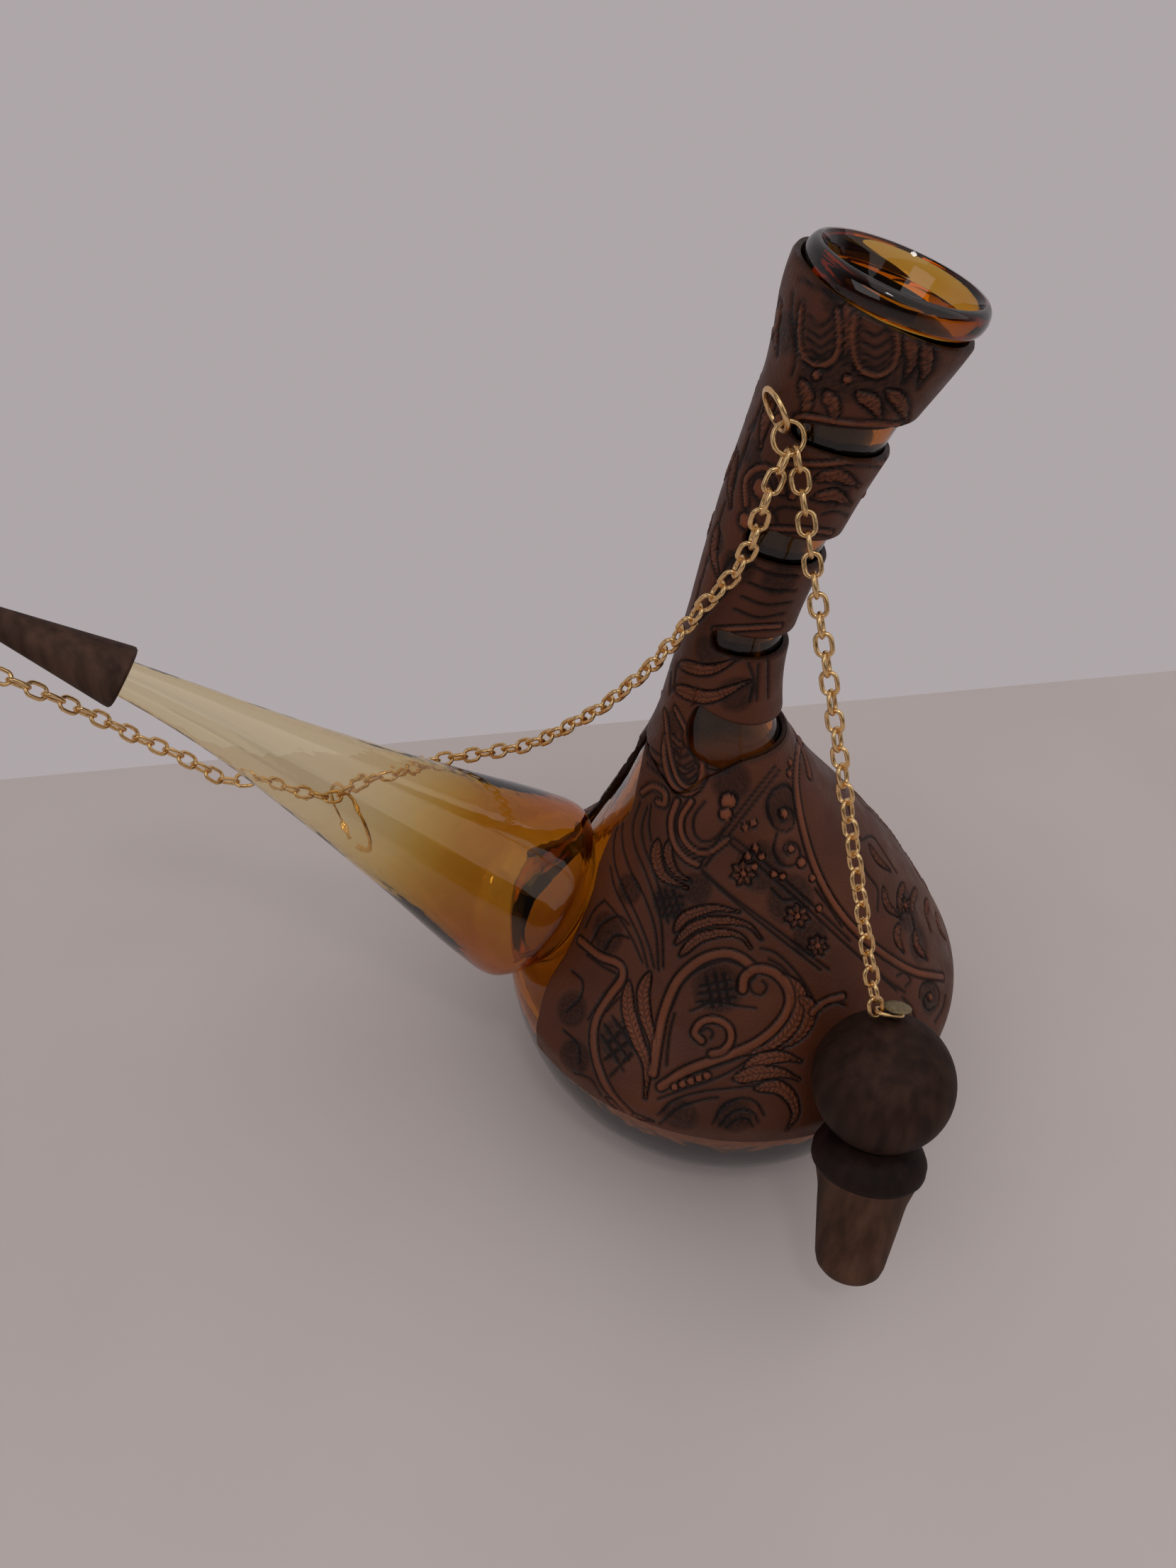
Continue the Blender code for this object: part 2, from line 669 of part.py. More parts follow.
def open_ring(name, centre, normal, across, radius, wire, gap, steps, sides, mat):
    """A round wire ring with a gap opposite its first direction."""
    other = normal.cross(across)
    rings = []
    for i in range(steps + 1):
        angle = math.pi + gap / 2 + (2 * math.pi - gap) * i / steps
        spoke = across * math.cos(angle) + other * math.sin(angle)
        ring = []
        for j in range(sides):
            turn = -2 * math.pi * j / sides
            ring.append(centre + spoke * (radius + wire * math.cos(turn)) + normal * wire * math.sin(turn))
        rings.append(ring)
    return loft(name, rings, mat)


def spare_ring(places, mat):
    """The open wire ring that hangs in the lowest link of the cap's chain; returns its hinge."""
    low = sorted(places, key=lambda p: p[0].z)[:3]
    centre, along, through = min(low, key=lambda p: abs(p[2].z))
    level = Vector((through.x, through.y, 0)).normalized()
    side = (LINK_WIDTH - CHAIN_WIRE) / 2
    top = centre - Vector((0, 0, side - CHAIN_WIRE / 2 - FIT - RING_WIRE / 2))
    middle = top - Vector((0, 0, SPARE_RING_RADIUS))
    normal = level.cross(Vector((0, 0, -1)))
    open_ring("spare_ring", middle, normal, Vector((0, 0, 1)), SPARE_RING_RADIUS, RING_WIRE / 2,
              SPARE_RING_GAP, 24, 5, mat)
    return top, level


def carrier_link(toward, mat):
    """The larger link on the neck ring; returns its lower bar and that bar's direction."""
    hook, wire = ring_hook(STOPPER_CHAIN_HOOK)
    along = (toward - hook).normalized()
    normal = (wire - along * along.dot(wire)).normalized()
    half = (CARRIER_LENGTH - CHAIN_WIRE) / 2
    reach = RING_WIRE / 2 + CHAIN_WIRE / 2 + FIT
    centre = hook + along * (half - reach)
    links_mesh("carrier_link", [(centre, along, normal)], half, mat, CARRIER_WIDTH)
    return centre + along * half, normal.cross(along).normalized()


def ball_centre():
    """Where the ball lies against the belly cover."""
    t, degrees = BALL_SEAT
    phi = math.radians(degrees)
    return skin_point(t, phi) + skin_normal(t, phi) * (LEATHER_GAP + LEATHER + FIT + BALL_RADIUS)


def stopper_axis():
    """Direction from the ball to the plug's end, leaning out until the collar clears the belly."""
    centre = ball_centre()
    level = Vector((math.sin(STOPPER_AZIMUTH), -math.cos(STOPPER_AZIMUTH), 0))
    clear = BELLY_RADIUS + LEATHER_GAP + LEATHER + FIT
    for step in range(60):
        tilt = STOPPER_LEAN + math.radians(step)
        axis = level * math.sin(tilt) - Vector((0, 0, 1)) * math.cos(tilt)
        middle = centre + axis * (COLLAR_TOP + COLLAR_BOTTOM) / 2
        if Vector((middle.x, middle.y)).length - COLLAR_RADIUS * math.cos(tilt) >= clear:
            break
    return axis


def ball_profile(radius, steps):
    """A sphere's profile from its top to its bottom, without its poles."""
    profile = []
    for k in range(1, steps):
        angle = math.pi * k / steps
        profile.append((-radius * math.cos(angle), radius * math.sin(angle)))
    return profile


def nail(name, surface, inward, head_radius, stand, mat):
    """A flat-headed nail standing a little proud of a wooden surface, over the link that it holds."""
    profile = [(-stand - NAIL_HEAD, head_radius * 0.8), (-stand - NAIL_HEAD * 0.5, head_radius),
               (-stand, head_radius * 0.96), (-stand, NAIL_RADIUS),
               (NAIL_LENGTH - NAIL_POINT, NAIL_RADIUS), (NAIL_LENGTH, NAIL_RADIUS / 4)]
    return turned(name, surface, inward, profile, mat, 12)


def nail_hole(name, surface, inward):
    """The hole that the nail's shank sits in."""
    profile = [(-NAIL_POINT / 2, NAIL_RADIUS + FIT), (NAIL_LENGTH + FIT, NAIL_RADIUS + FIT)]
    return as_cutter(turned(name, surface, inward, profile, None, 12))


def nail_link(name, surface, inward, toward, lift, tilt, mat):
    """The single link round a nail; returns its far bar and that bar's direction."""
    half = NAIL_LINK_HALF
    level = (toward - inward * toward.dot(inward)).normalized()
    along = level * math.cos(tilt) - inward * math.sin(tilt)
    normal = -inward * math.cos(tilt) - level * math.sin(tilt)
    slack = half - CHAIN_WIRE / 2 - NAIL_RADIUS - FIT
    centre = surface - inward * lift + along * slack
    links_mesh(name, [(centre, along, normal)], half, mat)
    return centre + along * half, normal.cross(along)


def stopper(wood, dark_wood, brass, gold):
    """Ball, collar and plug with their tenon, the nail and the link under it."""
    down = stopper_axis()
    middle = ball_centre()
    ball = turned("stopper_ball", middle, down, ball_profile(BALL_RADIUS, 12), wood)
    bore = [(BALL_RADIUS - TENON_IN_BALL - FIT, TENON_RADIUS + FIT),
            (BALL_RADIUS + BORE_PAST, TENON_RADIUS + FIT)]
    boolean(ball, as_cutter(turned("ball_bore", middle, down, bore, None, 12)), 'DIFFERENCE')
    top = middle - down * BALL_RADIUS
    boolean(ball, nail_hole("ball_nail_hole", top, down), 'DIFFERENCE')
    rim = COLLAR_RADIUS
    profile = [(COLLAR_TOP, rim * 0.72), (COLLAR_TOP + COLLAR_CHAMFER / 2, rim * 0.93),
               (COLLAR_TOP + COLLAR_CHAMFER, rim), (COLLAR_BOTTOM - COLLAR_CHAMFER / 5, rim * 0.99),
               (COLLAR_BOTTOM, rim * 0.94)]
    collar = turned("stopper_collar", middle, down, profile, dark_wood)
    seat = turned("collar_seat", middle, down, ball_profile(BALL_RADIUS + FIT, 12), None)
    boolean(collar, as_cutter(seat), 'DIFFERENCE')
    hole = [(COLLAR_TOP - BORE_PAST, TENON_RADIUS + FIT), (COLLAR_BOTTOM + BORE_PAST, TENON_RADIUS + FIT)]
    boolean(collar, as_cutter(turned("collar_hole", middle, down, hole, None, 12)), 'DIFFERENCE')
    start = COLLAR_BOTTOM + FIT
    end = start + PLUG_LENGTH
    profile = [(BALL_RADIUS - TENON_IN_BALL, TENON_RADIUS), (start, TENON_RADIUS), (start, PLUG_TOP_RADIUS),
               (start + PLUG_LENGTH * 0.10, PLUG_TOP_RADIUS * 0.93),
               (start + PLUG_LENGTH * 0.24, PLUG_WAIST_RADIUS * 1.06),
               (start + PLUG_LENGTH * 0.42, PLUG_WAIST_RADIUS),
               (end - PLUG_LENGTH * 0.14, PLUG_END_RADIUS),
               (end - PLUG_LENGTH * 0.04, PLUG_END_RADIUS * 0.84), (end, PLUG_END_RADIUS * 0.55)]
    turned("stopper_plug", middle, down, profile, wood)
    nail("stopper_nail", top, down, NAIL_HEAD_RADIUS, NAIL_STAND, brass)
    toward = Vector((-1, -0.25, 0))
    return nail_link("stopper_nail_link", top, down, toward, NAIL_LINK_LIFT, NAIL_LINK_TILT, gold)


def spout_cap(wood, brass, gold):
    """The wooden cone on the spout's tip, its nail and the link under it."""
    mouth_place = SPOUT_END - SOCKET_DEPTH + FIT
    mouth, along = spout_frame(mouth_place)
    slope = (CAP_MOUTH_RADIUS - CAP_TIP_RADIUS) / CAP_LENGTH
    profile = [(0, CAP_MOUTH_RADIUS - CAP_EDGE), (CAP_EDGE * 0.3, CAP_MOUTH_RADIUS - CAP_EDGE * 0.3),
               (CAP_EDGE, CAP_MOUTH_RADIUS - slope * CAP_EDGE),
               (CAP_LENGTH * 0.5, CAP_MOUTH_RADIUS - slope * CAP_LENGTH * 0.5),
               (CAP_LENGTH - CAP_TIP_EDGE, CAP_TIP_RADIUS + slope * CAP_TIP_EDGE),
               (CAP_LENGTH, CAP_TIP_RADIUS - CAP_TIP_EDGE / 2)]
    cap = turned("spout_cap", mouth, along, profile, wood)
    socket = []
    for share in (-0.04, 0.3, 0.65, 1.0):
        inside = smooth_value(SPOUT_RADII, mouth_place + share * SOCKET_DEPTH) + FIT
        socket.append((share * SOCKET_DEPTH, inside / math.cos(math.pi / 16)))
    boolean(cap, as_cutter(turned("cap_socket", mouth, along, socket, None, 16)), 'DIFFERENCE')
    tip = mouth + along * CAP_LENGTH
    boolean(cap, nail_hole("cap_nail_hole", tip, -along), 'DIFFERENCE')
    nail("cap_nail", tip, -along, CAP_NAIL_HEAD_RADIUS, CHAIN_WIRE + 2 * FIT, brass)
    toward = Vector((0, -0.15, -1))
    return nail_link("cap_nail_link", tip, -along, toward, CHAIN_WIRE / 2 + FIT, 0.0, gold)


def build():
    """Everything, in place."""
    clear_scene()
    glass = material("amber_glass", (0.72, 0.47, 0.14), 0.05, 0.0, 0.45)
    leather = material("tooled_leather", (0.16, 0.055, 0.03), 0.5)
    wood = material("turned_wood", (0.17, 0.09, 0.055), 0.6)
    dark_wood = material("dark_wood", (0.09, 0.055, 0.045), 0.6)
    gold = material("gilt_wire", (0.85, 0.58, 0.25), 0.25, 1.0)
    brass = material("dull_brass", (0.42, 0.33, 0.2), 0.4, 1.0)
    glass_vessel(glass)
    belly_cover(leather)
    neck_sleeve(leather)
    neck_ring(gold)
    set_origin(["neck_ring"], neck_ring_frame()[0])
    far_bar, bar_wire = stopper(wood, dark_wood, brass, gold)
    set_origin(["stopper_ball", "stopper_collar", "stopper_plug", "stopper_nail"], ball_centre())
    set_origin(["stopper_nail_link"], far_bar)
    carrier, bar = carrier_link(far_bar, gold)
    hook = carrier + bar * CARRIER_SPREAD
    stopper_hinge = (far_bar, bar_wire)
    route = [hook, hook.lerp(far_bar, 0.33), hook.lerp(far_bar, 0.66), far_bar]
    chain("stopper_chain", route, bar, bar_wire, gold)
    set_origin(["stopper_chain"], hook)
    far_bar, bar_wire = spout_cap(wood, brass, gold)
    mouth, cap_axis = spout_frame(SPOUT_END - SOCKET_DEPTH + FIT)
    set_origin(["spout_cap", "cap_nail", "cap_nail_link"], mouth)
    route = [carrier - bar * CARRIER_SPREAD] + [Vector(p) for p in CAP_CHAIN_ROUTE] + [far_bar]
    places = chain("cap_chain", route, bar, bar_wire, gold)
    top, level = spare_ring(places, gold)
    set_origin(["spare_ring"], top)
    joints = (("neck_ring_turn", *neck_ring_frame()[:2]), ("stopper_swing", hook, bar),
              ("stopper_sway", *stopper_hinge), ("stopper_turn", ball_centre(), stopper_axis()),
              ("cap_pull", mouth, cap_axis), ("cap_turn", mouth, cap_axis), ("spare_ring_swing", top, level))
    for joint, point, axis in joints:
        print(joint, [round(x, 6) for x in point], [round(x, 6) for x in axis])


build()
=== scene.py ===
"""The porron's looks: amber glass, tooled leather, gilt chains and dark turned wood."""
import bmesh
import bpy
import math
import numpy as np
from mathutils import Matrix, Vector


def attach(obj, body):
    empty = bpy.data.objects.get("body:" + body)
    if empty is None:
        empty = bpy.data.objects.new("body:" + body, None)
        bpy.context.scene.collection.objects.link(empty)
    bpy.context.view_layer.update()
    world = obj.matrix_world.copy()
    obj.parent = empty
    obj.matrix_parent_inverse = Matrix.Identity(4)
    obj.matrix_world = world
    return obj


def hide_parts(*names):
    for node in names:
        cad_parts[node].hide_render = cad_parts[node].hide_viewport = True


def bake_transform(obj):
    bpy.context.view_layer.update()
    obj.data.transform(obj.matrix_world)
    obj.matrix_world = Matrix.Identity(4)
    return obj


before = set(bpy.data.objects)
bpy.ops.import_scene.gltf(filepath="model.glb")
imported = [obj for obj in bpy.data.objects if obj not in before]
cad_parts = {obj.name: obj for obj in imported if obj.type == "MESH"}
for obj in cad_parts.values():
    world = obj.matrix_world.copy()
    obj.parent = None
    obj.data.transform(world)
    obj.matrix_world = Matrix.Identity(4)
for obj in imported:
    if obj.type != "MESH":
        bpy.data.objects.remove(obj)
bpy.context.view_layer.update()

# Photograph and camera
PHOTO_W = 1659
PHOTO_H = 2212
FOCAL_PX = 1694.2
CAMERA_AT = Vector((-0.06442, -0.26468, 0.36034))
CAMERA_LOOK = Vector((0.04545, 0.74441, -0.66617)).normalized()
CAMERA_AZ = math.radians(-3.49)
CAMERA_ROLL = math.radians(2.06)
SENSOR = 36.0

# Glass, in metres; the rim and the spout are refined from the part's source
BELLY_RADIUS = 0.0727
BELLY_HEIGHT = 0.0548
FOOT_RADIUS = 0.0417
GLASS_WALL = 0.003
FOOT_THICKNESS = 0.005
NECK_TOP_X = 0.0151
NECK_TOP_Z = 0.2690
NECK_ANGLE = math.radians(20.9)
NECK_SETBACK = 0.0045
NECK_LOWER_PULL = 0.35
NECK_UPPER_PULL = 0.60
NECK_LEVEL_SHARE = 0.12
NECK_RADII = [(0.0, 0.0727), (0.03, 0.0694), (0.12, 0.0563), (0.25, 0.0412), (0.40, 0.0258),
              (0.55, 0.0149), (0.70, 0.0120), (0.85, 0.0140), (1.00, 0.0182)]
RIM_ANGLE = math.radians(16.4)
RIM_RADIUS = 0.0218
RIM_WIDTH = 0.0042
RIM_HEIGHT = 0.0066
RIM_LIFT = 0.0003
SPOUT_RISE = math.radians(38.1)
SPOUT_ROOT_Z = 0.0684
SPOUT_ROOT_X = 0.0514
SPOUT_STRAIGHT = 0.115
SPOUT_BEND = 0.0402
SPOUT_TIP_ANGLE = math.radians(32.7)
SPOUT_RADII = [(0.000, 0.0215), (0.0075, 0.0215), (0.0125, 0.0265), (0.0195, 0.0306), (0.028, 0.0293),
               (0.062, 0.0212), (0.093, 0.0145), (0.124, 0.0088), (0.1552, 0.0051), (0.179, 0.0034)]
SPOUT_WALLS = [(0.000, 0.0034), (0.030, 0.0034), (0.045, 0.0023), (0.066, 0.0008),
               (0.095, 0.00038), (0.179, 0.00032)]
SPOUT_START = 0.004
SPOUT_LEAST = 0.0016
SPOUT_LIP = 0.0006
FOOT_ROUND = 0.0022
GLASS_SIDES = 96
HOLLOW_SIDES = 80
SPOUT_END = SPOUT_RADII[-1][0]

# Leather; its outline is refined from the part's source
LEATHER = 0.0020
LEATHER_GAP = 0.0005
COVER_HEM_Z = 0.049
COVER_SEAM_GAP = 0.0006
COVER_SIDE = [(0.000, -59.0), (0.08, -65.0), (0.15, -67.0), (0.23, -69.0), (0.28, -74.0),
              (0.33, -76.0), (0.38, -69.0), (0.42, -77.0), (0.445, -89.0)]
COLLAR_SEAM = [(-90.0, 0.480), (-60.0, 0.470), (-37.0, 0.453), (-15.0, 0.488), (20.0, 0.512),
               (90.0, 0.500)]
SLEEVE_TOP = 0.9915
SLEEVE_TOP_BEHIND = 0.9985
SLEEVE_HIGHEST = math.radians(195)
SLEEVE_FLARE = 0.0015
FLARE_BEHIND = 0.0022
FLARE_START = 0.92
FLARE_SPREAD = 2.2
RELIEF_SINK = 0.0003
WINDOWS = [((0.9015, 0.914), (0.9065, 0.9395)), ((0.798, 0.829), (0.798, 0.829)),
           ((0.676, 0.707), (0.676, 0.707)), ((0.520, 0.600), (0.474, 0.556))]
WINDOW_FRONT_ANGLE = math.radians(-42.0)
WINDOW_END_RUN = 0.0035
NECK_MEAN_RADIUS = 0.0165
SEAM_HALF_GAP = COVER_SEAM_GAP / 2 / (NECK_TOP_Z - BELLY_HEIGHT)
BACK_BARE = math.radians(12)
BARE_START = 0.08
BARE_RUN = 0.12
SEAM_BEND = 0.36
ROW_SAMPLES = 400
ROW_ANGLE = 0.3
EDGE_ROUND = 0.0009
EDGE_DROP = 0.00040
EDGE_SHADE = 0.55
EDGE_SHADE_RUN = 0.002
INNER_SHADE = 0.12
LEATHER_STEP = 0.00050
WELD = 2e-6
FAR_FROM_EDGE = 1.0
PATTERN_LOW = -0.12
PATTERN = {}

# Stopper, cap, rings and chain; collar and plug are refined from the part's source
BALL_RADIUS = 0.0195
BALL_SEAT = (0.0625, 23.2)
STOPPER_LEAN = math.radians(25.0)
STOPPER_AZIMUTH = math.radians(-12.0)
COLLAR_RADIUS = 0.0159
COLLAR_TOP = 0.0178
COLLAR_BOTTOM = 0.0270
PLUG_LENGTH = 0.0348
PLUG_TOP_RADIUS = 0.0147
PLUG_WAIST_RADIUS = 0.0118
PLUG_END_RADIUS = 0.0100
NAIL_HEAD_RADIUS = 0.0039
NAIL_HEAD = 0.0008
NAIL_RADIUS = 0.0008
NAIL_LENGTH = 0.0090
NAIL_STAND = 0.0028
NAIL_LINK_HALF = 0.0040
CAP_NAIL_LINK_HALF = 0.0040
NAIL_LINK_LIFT = 0.00125
NAIL_LINK_TILT = math.radians(9.0)
BALL_LINK_TOWARD = Vector((-1, -0.25, 0))
CAP_LINK_TOWARD = Vector((0, -0.15, -1))
CAP_NAIL_HEAD_RADIUS = 0.0022
CAP_MOUTH_RADIUS = 0.0092
CAP_TIP_RADIUS = 0.0028
CAP_LENGTH = 0.042
CAP_EDGE = 0.0018
SOCKET_DEPTH = 0.0245
RING_WIRE = 0.0014
NECK_RING_RADIUS = 0.0050
NECK_RING_LEAN = math.radians(35.0)
NECK_RING_TURN = math.radians(18.0)
NECK_RING_SEAT = (0.905, -56.0)
STOPPER_CHAIN_HOOK = -92.0
CARRIER_LENGTH = 0.0086
CARRIER_WIDTH = 0.0082
CARRIER_SPREAD = 0.0012
SPARE_RING_RADIUS = 0.0125
SPARE_RING_GAP = math.radians(24.0)
CHAIN_WIRE = 0.0012
LINK_WIDTH = 0.0051
LINK_PITCH = 0.00485
LINK_BITE = 0.00035
ROUTE_STEPS = 12
LINK_STEPS = 20
LINK_SIDES = 8
RING_STEPS = 64
RING_SIDES = 12
FIT = 0.0003
CAP_CHAIN_ROUTE = [(-0.0115, -0.0208, 0.2280), (-0.0132, -0.0198, 0.2168), (-0.0163, -0.0175, 0.2062),
                   (-0.0221, -0.0143, 0.1953), (-0.0275, -0.0105, 0.1832), (-0.0334, -0.0052, 0.1696),
                   (-0.0398, -0.0003, 0.1583), (-0.0453, 0.0040, 0.1488), (-0.0517, 0.0082, 0.1407),
                   (-0.0575, 0.0113, 0.1340), (-0.0639, 0.0146, 0.1275), (-0.0704, 0.0174, 0.1228),
                   (-0.0771, 0.0200, 0.1192), (-0.0856, 0.0224, 0.1155), (-0.0942, 0.0242, 0.1124),
                   (-0.1012, 0.0252, 0.1098), (-0.1079, 0.0247, 0.1068), (-0.1166, 0.0228, 0.1056),
                   (-0.1233, 0.0204, 0.1032), (-0.1276, 0.0183, 0.1020), (-0.1337, 0.0163, 0.1047),
                   (-0.1413, 0.0138, 0.1099), (-0.1489, 0.0116, 0.1154), (-0.1570, 0.0100, 0.1167),
                   (-0.1637, 0.0085, 0.1238), (-0.1701, 0.0070, 0.1307), (-0.1764, 0.0048, 0.1370),
                   (-0.1822, 0.0020, 0.1448), (-0.1880, -0.0008, 0.1520), (-0.1940, -0.0036, 0.1592),
                   (-0.2005, -0.0058, 0.1655), (-0.2075, -0.0058, 0.1700), (-0.2135, -0.0042, 0.1735),
                   (-0.2158, -0.0022, 0.1785)]

# Leather colours, from the grooves to the worn ridges
LEATHER_GROOVE = (0.0075, 0.0026, 0.0017)
LEATHER_PLAIN = (0.050, 0.0148, 0.0066)
LEATHER_RIDGE = (0.150, 0.043, 0.0165)

# Room, floor and lamps; the wall's lower line is in pixels of the photograph
WALL_LINE_LEFT = 1100
WALL_LINE_RIGHT = 946
FLOOR_MARGIN = 2.5
FLOOR_DEPTH = 4
LAMPS_FACE = Vector((-0.03, 0, 0.1))
WALL_COLOR = (0.425, 0.385, 0.395)
ROOM_BEHIND = (0.045, 0.042, 0.042)
ROOM_EDGE = (-0.25, 0.30)
FLOOR_DARK = (0.42, 0.365, 0.350)
FLOOR_LIGHT = (0.45, 0.395, 0.380)
WORLD_LIGHT = (1.0, 0.97, 0.98)
WORLD_LEVEL = 0.62
LAMPS = [("key", (0.55, -0.35, 1.05), 6.0, 1.8, (1.0, 0.98, 0.95)),
         ("glint", (0.0, -0.55, 1.15), 0.8, 0.12, (1.0, 0.98, 0.95)),
         ("fill", (-0.9, -0.9, 0.9), 3.0, 0.9, (0.96, 0.97, 1.0))]


def camera_axes():
    """Right and up directions of the photograph."""
    level = Vector((math.cos(CAMERA_AZ), math.sin(CAMERA_AZ), 0))
    above = level.cross(CAMERA_LOOK)
    right = level * math.cos(CAMERA_ROLL) + above * math.sin(CAMERA_ROLL)
    up = above * math.cos(CAMERA_ROLL) - level * math.sin(CAMERA_ROLL)
    return right, up


def linked(name, data):
    """A new object in the scene."""
    obj = bpy.data.objects.new(name, data)
    bpy.context.scene.collection.objects.link(obj)
    return obj


def make_camera():
    """The photograph's camera."""
    right, up = camera_axes()
    data = bpy.data.cameras.new("camera")
    data.sensor_fit = 'HORIZONTAL'
    data.sensor_width = SENSOR
    data.lens = FOCAL_PX / PHOTO_W * SENSOR
    data.clip_start = 0.01
    cam = linked("camera", data)
    turn = Matrix((right, up, -CAMERA_LOOK)).transposed()
    cam.matrix_world = Matrix.Translation(CAMERA_AT) @ turn.to_4x4()
    bpy.context.scene.camera = cam


def project(points):
    """Photograph pixels of an array of points."""
    right, up = camera_axes()
    rel = np.asarray(points) - np.array(CAMERA_AT)
    depth = rel @ np.array(CAMERA_LOOK)
    x = PHOTO_W / 2 + FOCAL_PX * (rel @ np.array(right)) / depth
    y = PHOTO_H / 2 - FOCAL_PX * (rel @ np.array(up)) / depth
    return np.stack([x, y], -1)


def ray(px, py):
    """Direction through a photograph pixel."""
    right, up = camera_axes()
    return (CAMERA_LOOK + right * ((px - PHOTO_W / 2) / FOCAL_PX) - up * ((py - PHOTO_H / 2) / FOCAL_PX))


def floor_point(px, py):
    """The floor's point under a photograph pixel."""
    way = ray(px, py)
    return CAMERA_AT - way * (CAMERA_AT.z / way.z)


def smooth_value(stations, place):
    """A smooth curve through (place, value) stations that doesn't overshoot; place may be an array."""
    xs = np.array([s[0] for s in stations], float)
    ys = np.array([s[1] for s in stations], float)
    rates = np.diff(ys) / np.diff(xs)
    slopes = np.zeros(len(xs))
    slopes[-1] = rates[-1]
    slopes[0] = 0.0 if stations is NECK_RADII else rates[0]
    for i in range(1, len(xs) - 1):
        if rates[i - 1] * rates[i] > 0:
            slopes[i] = 2 * rates[i - 1] * rates[i] / (rates[i - 1] + rates[i])
    place = np.clip(np.asarray(place, float), xs[0], xs[-1])
    i = np.clip(np.searchsorted(xs, place, side="right") - 1, 0, len(xs) - 2)
    width = xs[i + 1] - xs[i]
    u = (place - xs[i]) / width
    h00 = 2 * u ** 3 - 3 * u ** 2 + 1
    h10 = u ** 3 - 2 * u ** 2 + u
    h01 = 3 * u ** 2 - 2 * u ** 3
    h11 = u ** 3 - u ** 2
    return h00 * ys[i] + h10 * width * slopes[i] + h01 * ys[i + 1] + h11 * width * slopes[i + 1]


def neck_frames(t):
    """Centre, outward side direction and radius of the vessel at shares t; t below 0 is the lower belly."""
    t = np.asarray(t, float)
    u = np.clip(t, 0, None)[..., None]
    height = NECK_TOP_Z - BELLY_HEIGHT
    end_dir = np.array((math.sin(NECK_ANGLE), 0, math.cos(NECK_ANGLE)))
    p0 = np.array((0, 0, BELLY_HEIGHT))
    p1 = np.array((-NECK_SETBACK, 0, BELLY_HEIGHT + height * NECK_LOWER_PULL))
    p3 = np.array((NECK_TOP_X, 0, NECK_TOP_Z))
    p2 = p3 - end_dir * height * NECK_UPPER_PULL
    s = 1 - u
    centre = p0 * s ** 3 + p1 * 3 * s * s * u + p2 * 3 * s * u * u + p3 * u ** 3
    along = (p1 - p0) * 3 * s * s + (p2 - p1) * 6 * s * u + (p3 - p2) * 3 * u * u
    along = along / np.linalg.norm(along, axis=-1, keepdims=True)
    share = np.clip(u / NECK_LEVEL_SHARE, 0, 1)
    along = along * share + np.array((0, 0, 1.0)) * (1 - share)
    along = along / np.linalg.norm(along, axis=-1, keepdims=True)
    radius = smooth_value(NECK_RADII, np.clip(t, 0, None))
    angle = np.clip(-t, 0, 1) * math.pi / 2
    low = t < 0
    radius = np.where(low, FOOT_RADIUS + (BELLY_RADIUS - FOOT_RADIUS) * np.cos(angle), radius)
    centre[..., 2] = np.where(low, BELLY_HEIGHT * (1 - np.sin(angle)), centre[..., 2])
    side = np.stack([along[..., 2], np.zeros_like(t), -along[..., 0]], -1)
    return centre, side, radius


def skin(t, phi):
    """Points of the glass at arrays of places; phi runs from -Y towards +X."""
    centre, side, radius = neck_frames(t)
    phi = np.asarray(phi, float)[..., None]
    return centre + radius[..., None] * (side * np.sin(phi) - np.array((0, 1.0, 0)) * np.cos(phi))


def skin_normals(t, phi):
    """Outward directions of the glass."""
    step = 0.002
    across = skin(t, phi + step) - skin(t, phi - step)
    upward = skin(t + step, phi) - skin(t - step, phi)
    out = np.cross(across, upward)
    return out / np.linalg.norm(out, axis=-1, keepdims=True)


def skin_point(t, phi):
    """One point of the glass."""
    return Vector(skin(np.array(float(t)), np.array(float(phi))))


def skin_normal(t, phi):
    """The outward direction at one point of the glass."""
    return Vector(skin_normals(np.array(float(t)), np.array(float(phi))))


def behind(phi):
    """From 0 to 1, how near a place is to the sleeve's highest side, behind the rim."""
    return (0.5 + 0.5 * np.cos(np.asarray(phi, float) - SLEEVE_HIGHEST)) ** 2


def sleeve_top(phi):
    """How far up the neck the leather reaches."""
    return SLEEVE_TOP + (SLEEVE_TOP_BEHIND - SLEEVE_TOP) * behind(phi)


def flare(t, phi):
    """How far the leather stands out from the neck as it nears the rim."""
    share = np.clip((np.asarray(t, float) - FLARE_START) / (SLEEVE_TOP - FLARE_START), 0, 1)
    most = SLEEVE_FLARE + FLARE_BEHIND * np.minimum(1, FLARE_SPREAD * behind(phi))
    return most * share * share * (3 - 2 * share)


def cover(t, phi, height=None):
    """Points of the leather at arrays of places, a height above its inner face."""
    rise = LEATHER_GAP + flare(t, phi) + (LEATHER - RELIEF_SINK if height is None else height)
    return skin(t, phi) + skin_normals(t, phi) * rise[..., None]


def shaded(name, mesh, smooth):
    """An object from a mesh, shaded smooth up to an angle."""
    mesh.shade_smooth()
    mesh.set_sharp_from_angle(angle=math.radians(smooth))
    return linked(name, mesh)


def mesh_object(name, verts, faces, mat, smooth=40.0):
    """An object from points and faces."""
    mesh = bpy.data.meshes.new(name)
    mesh.from_pydata([tuple(v) for v in verts], [], faces)
    mesh.materials.append(mat)
    mesh.update()
    return shaded(name, mesh, smooth)


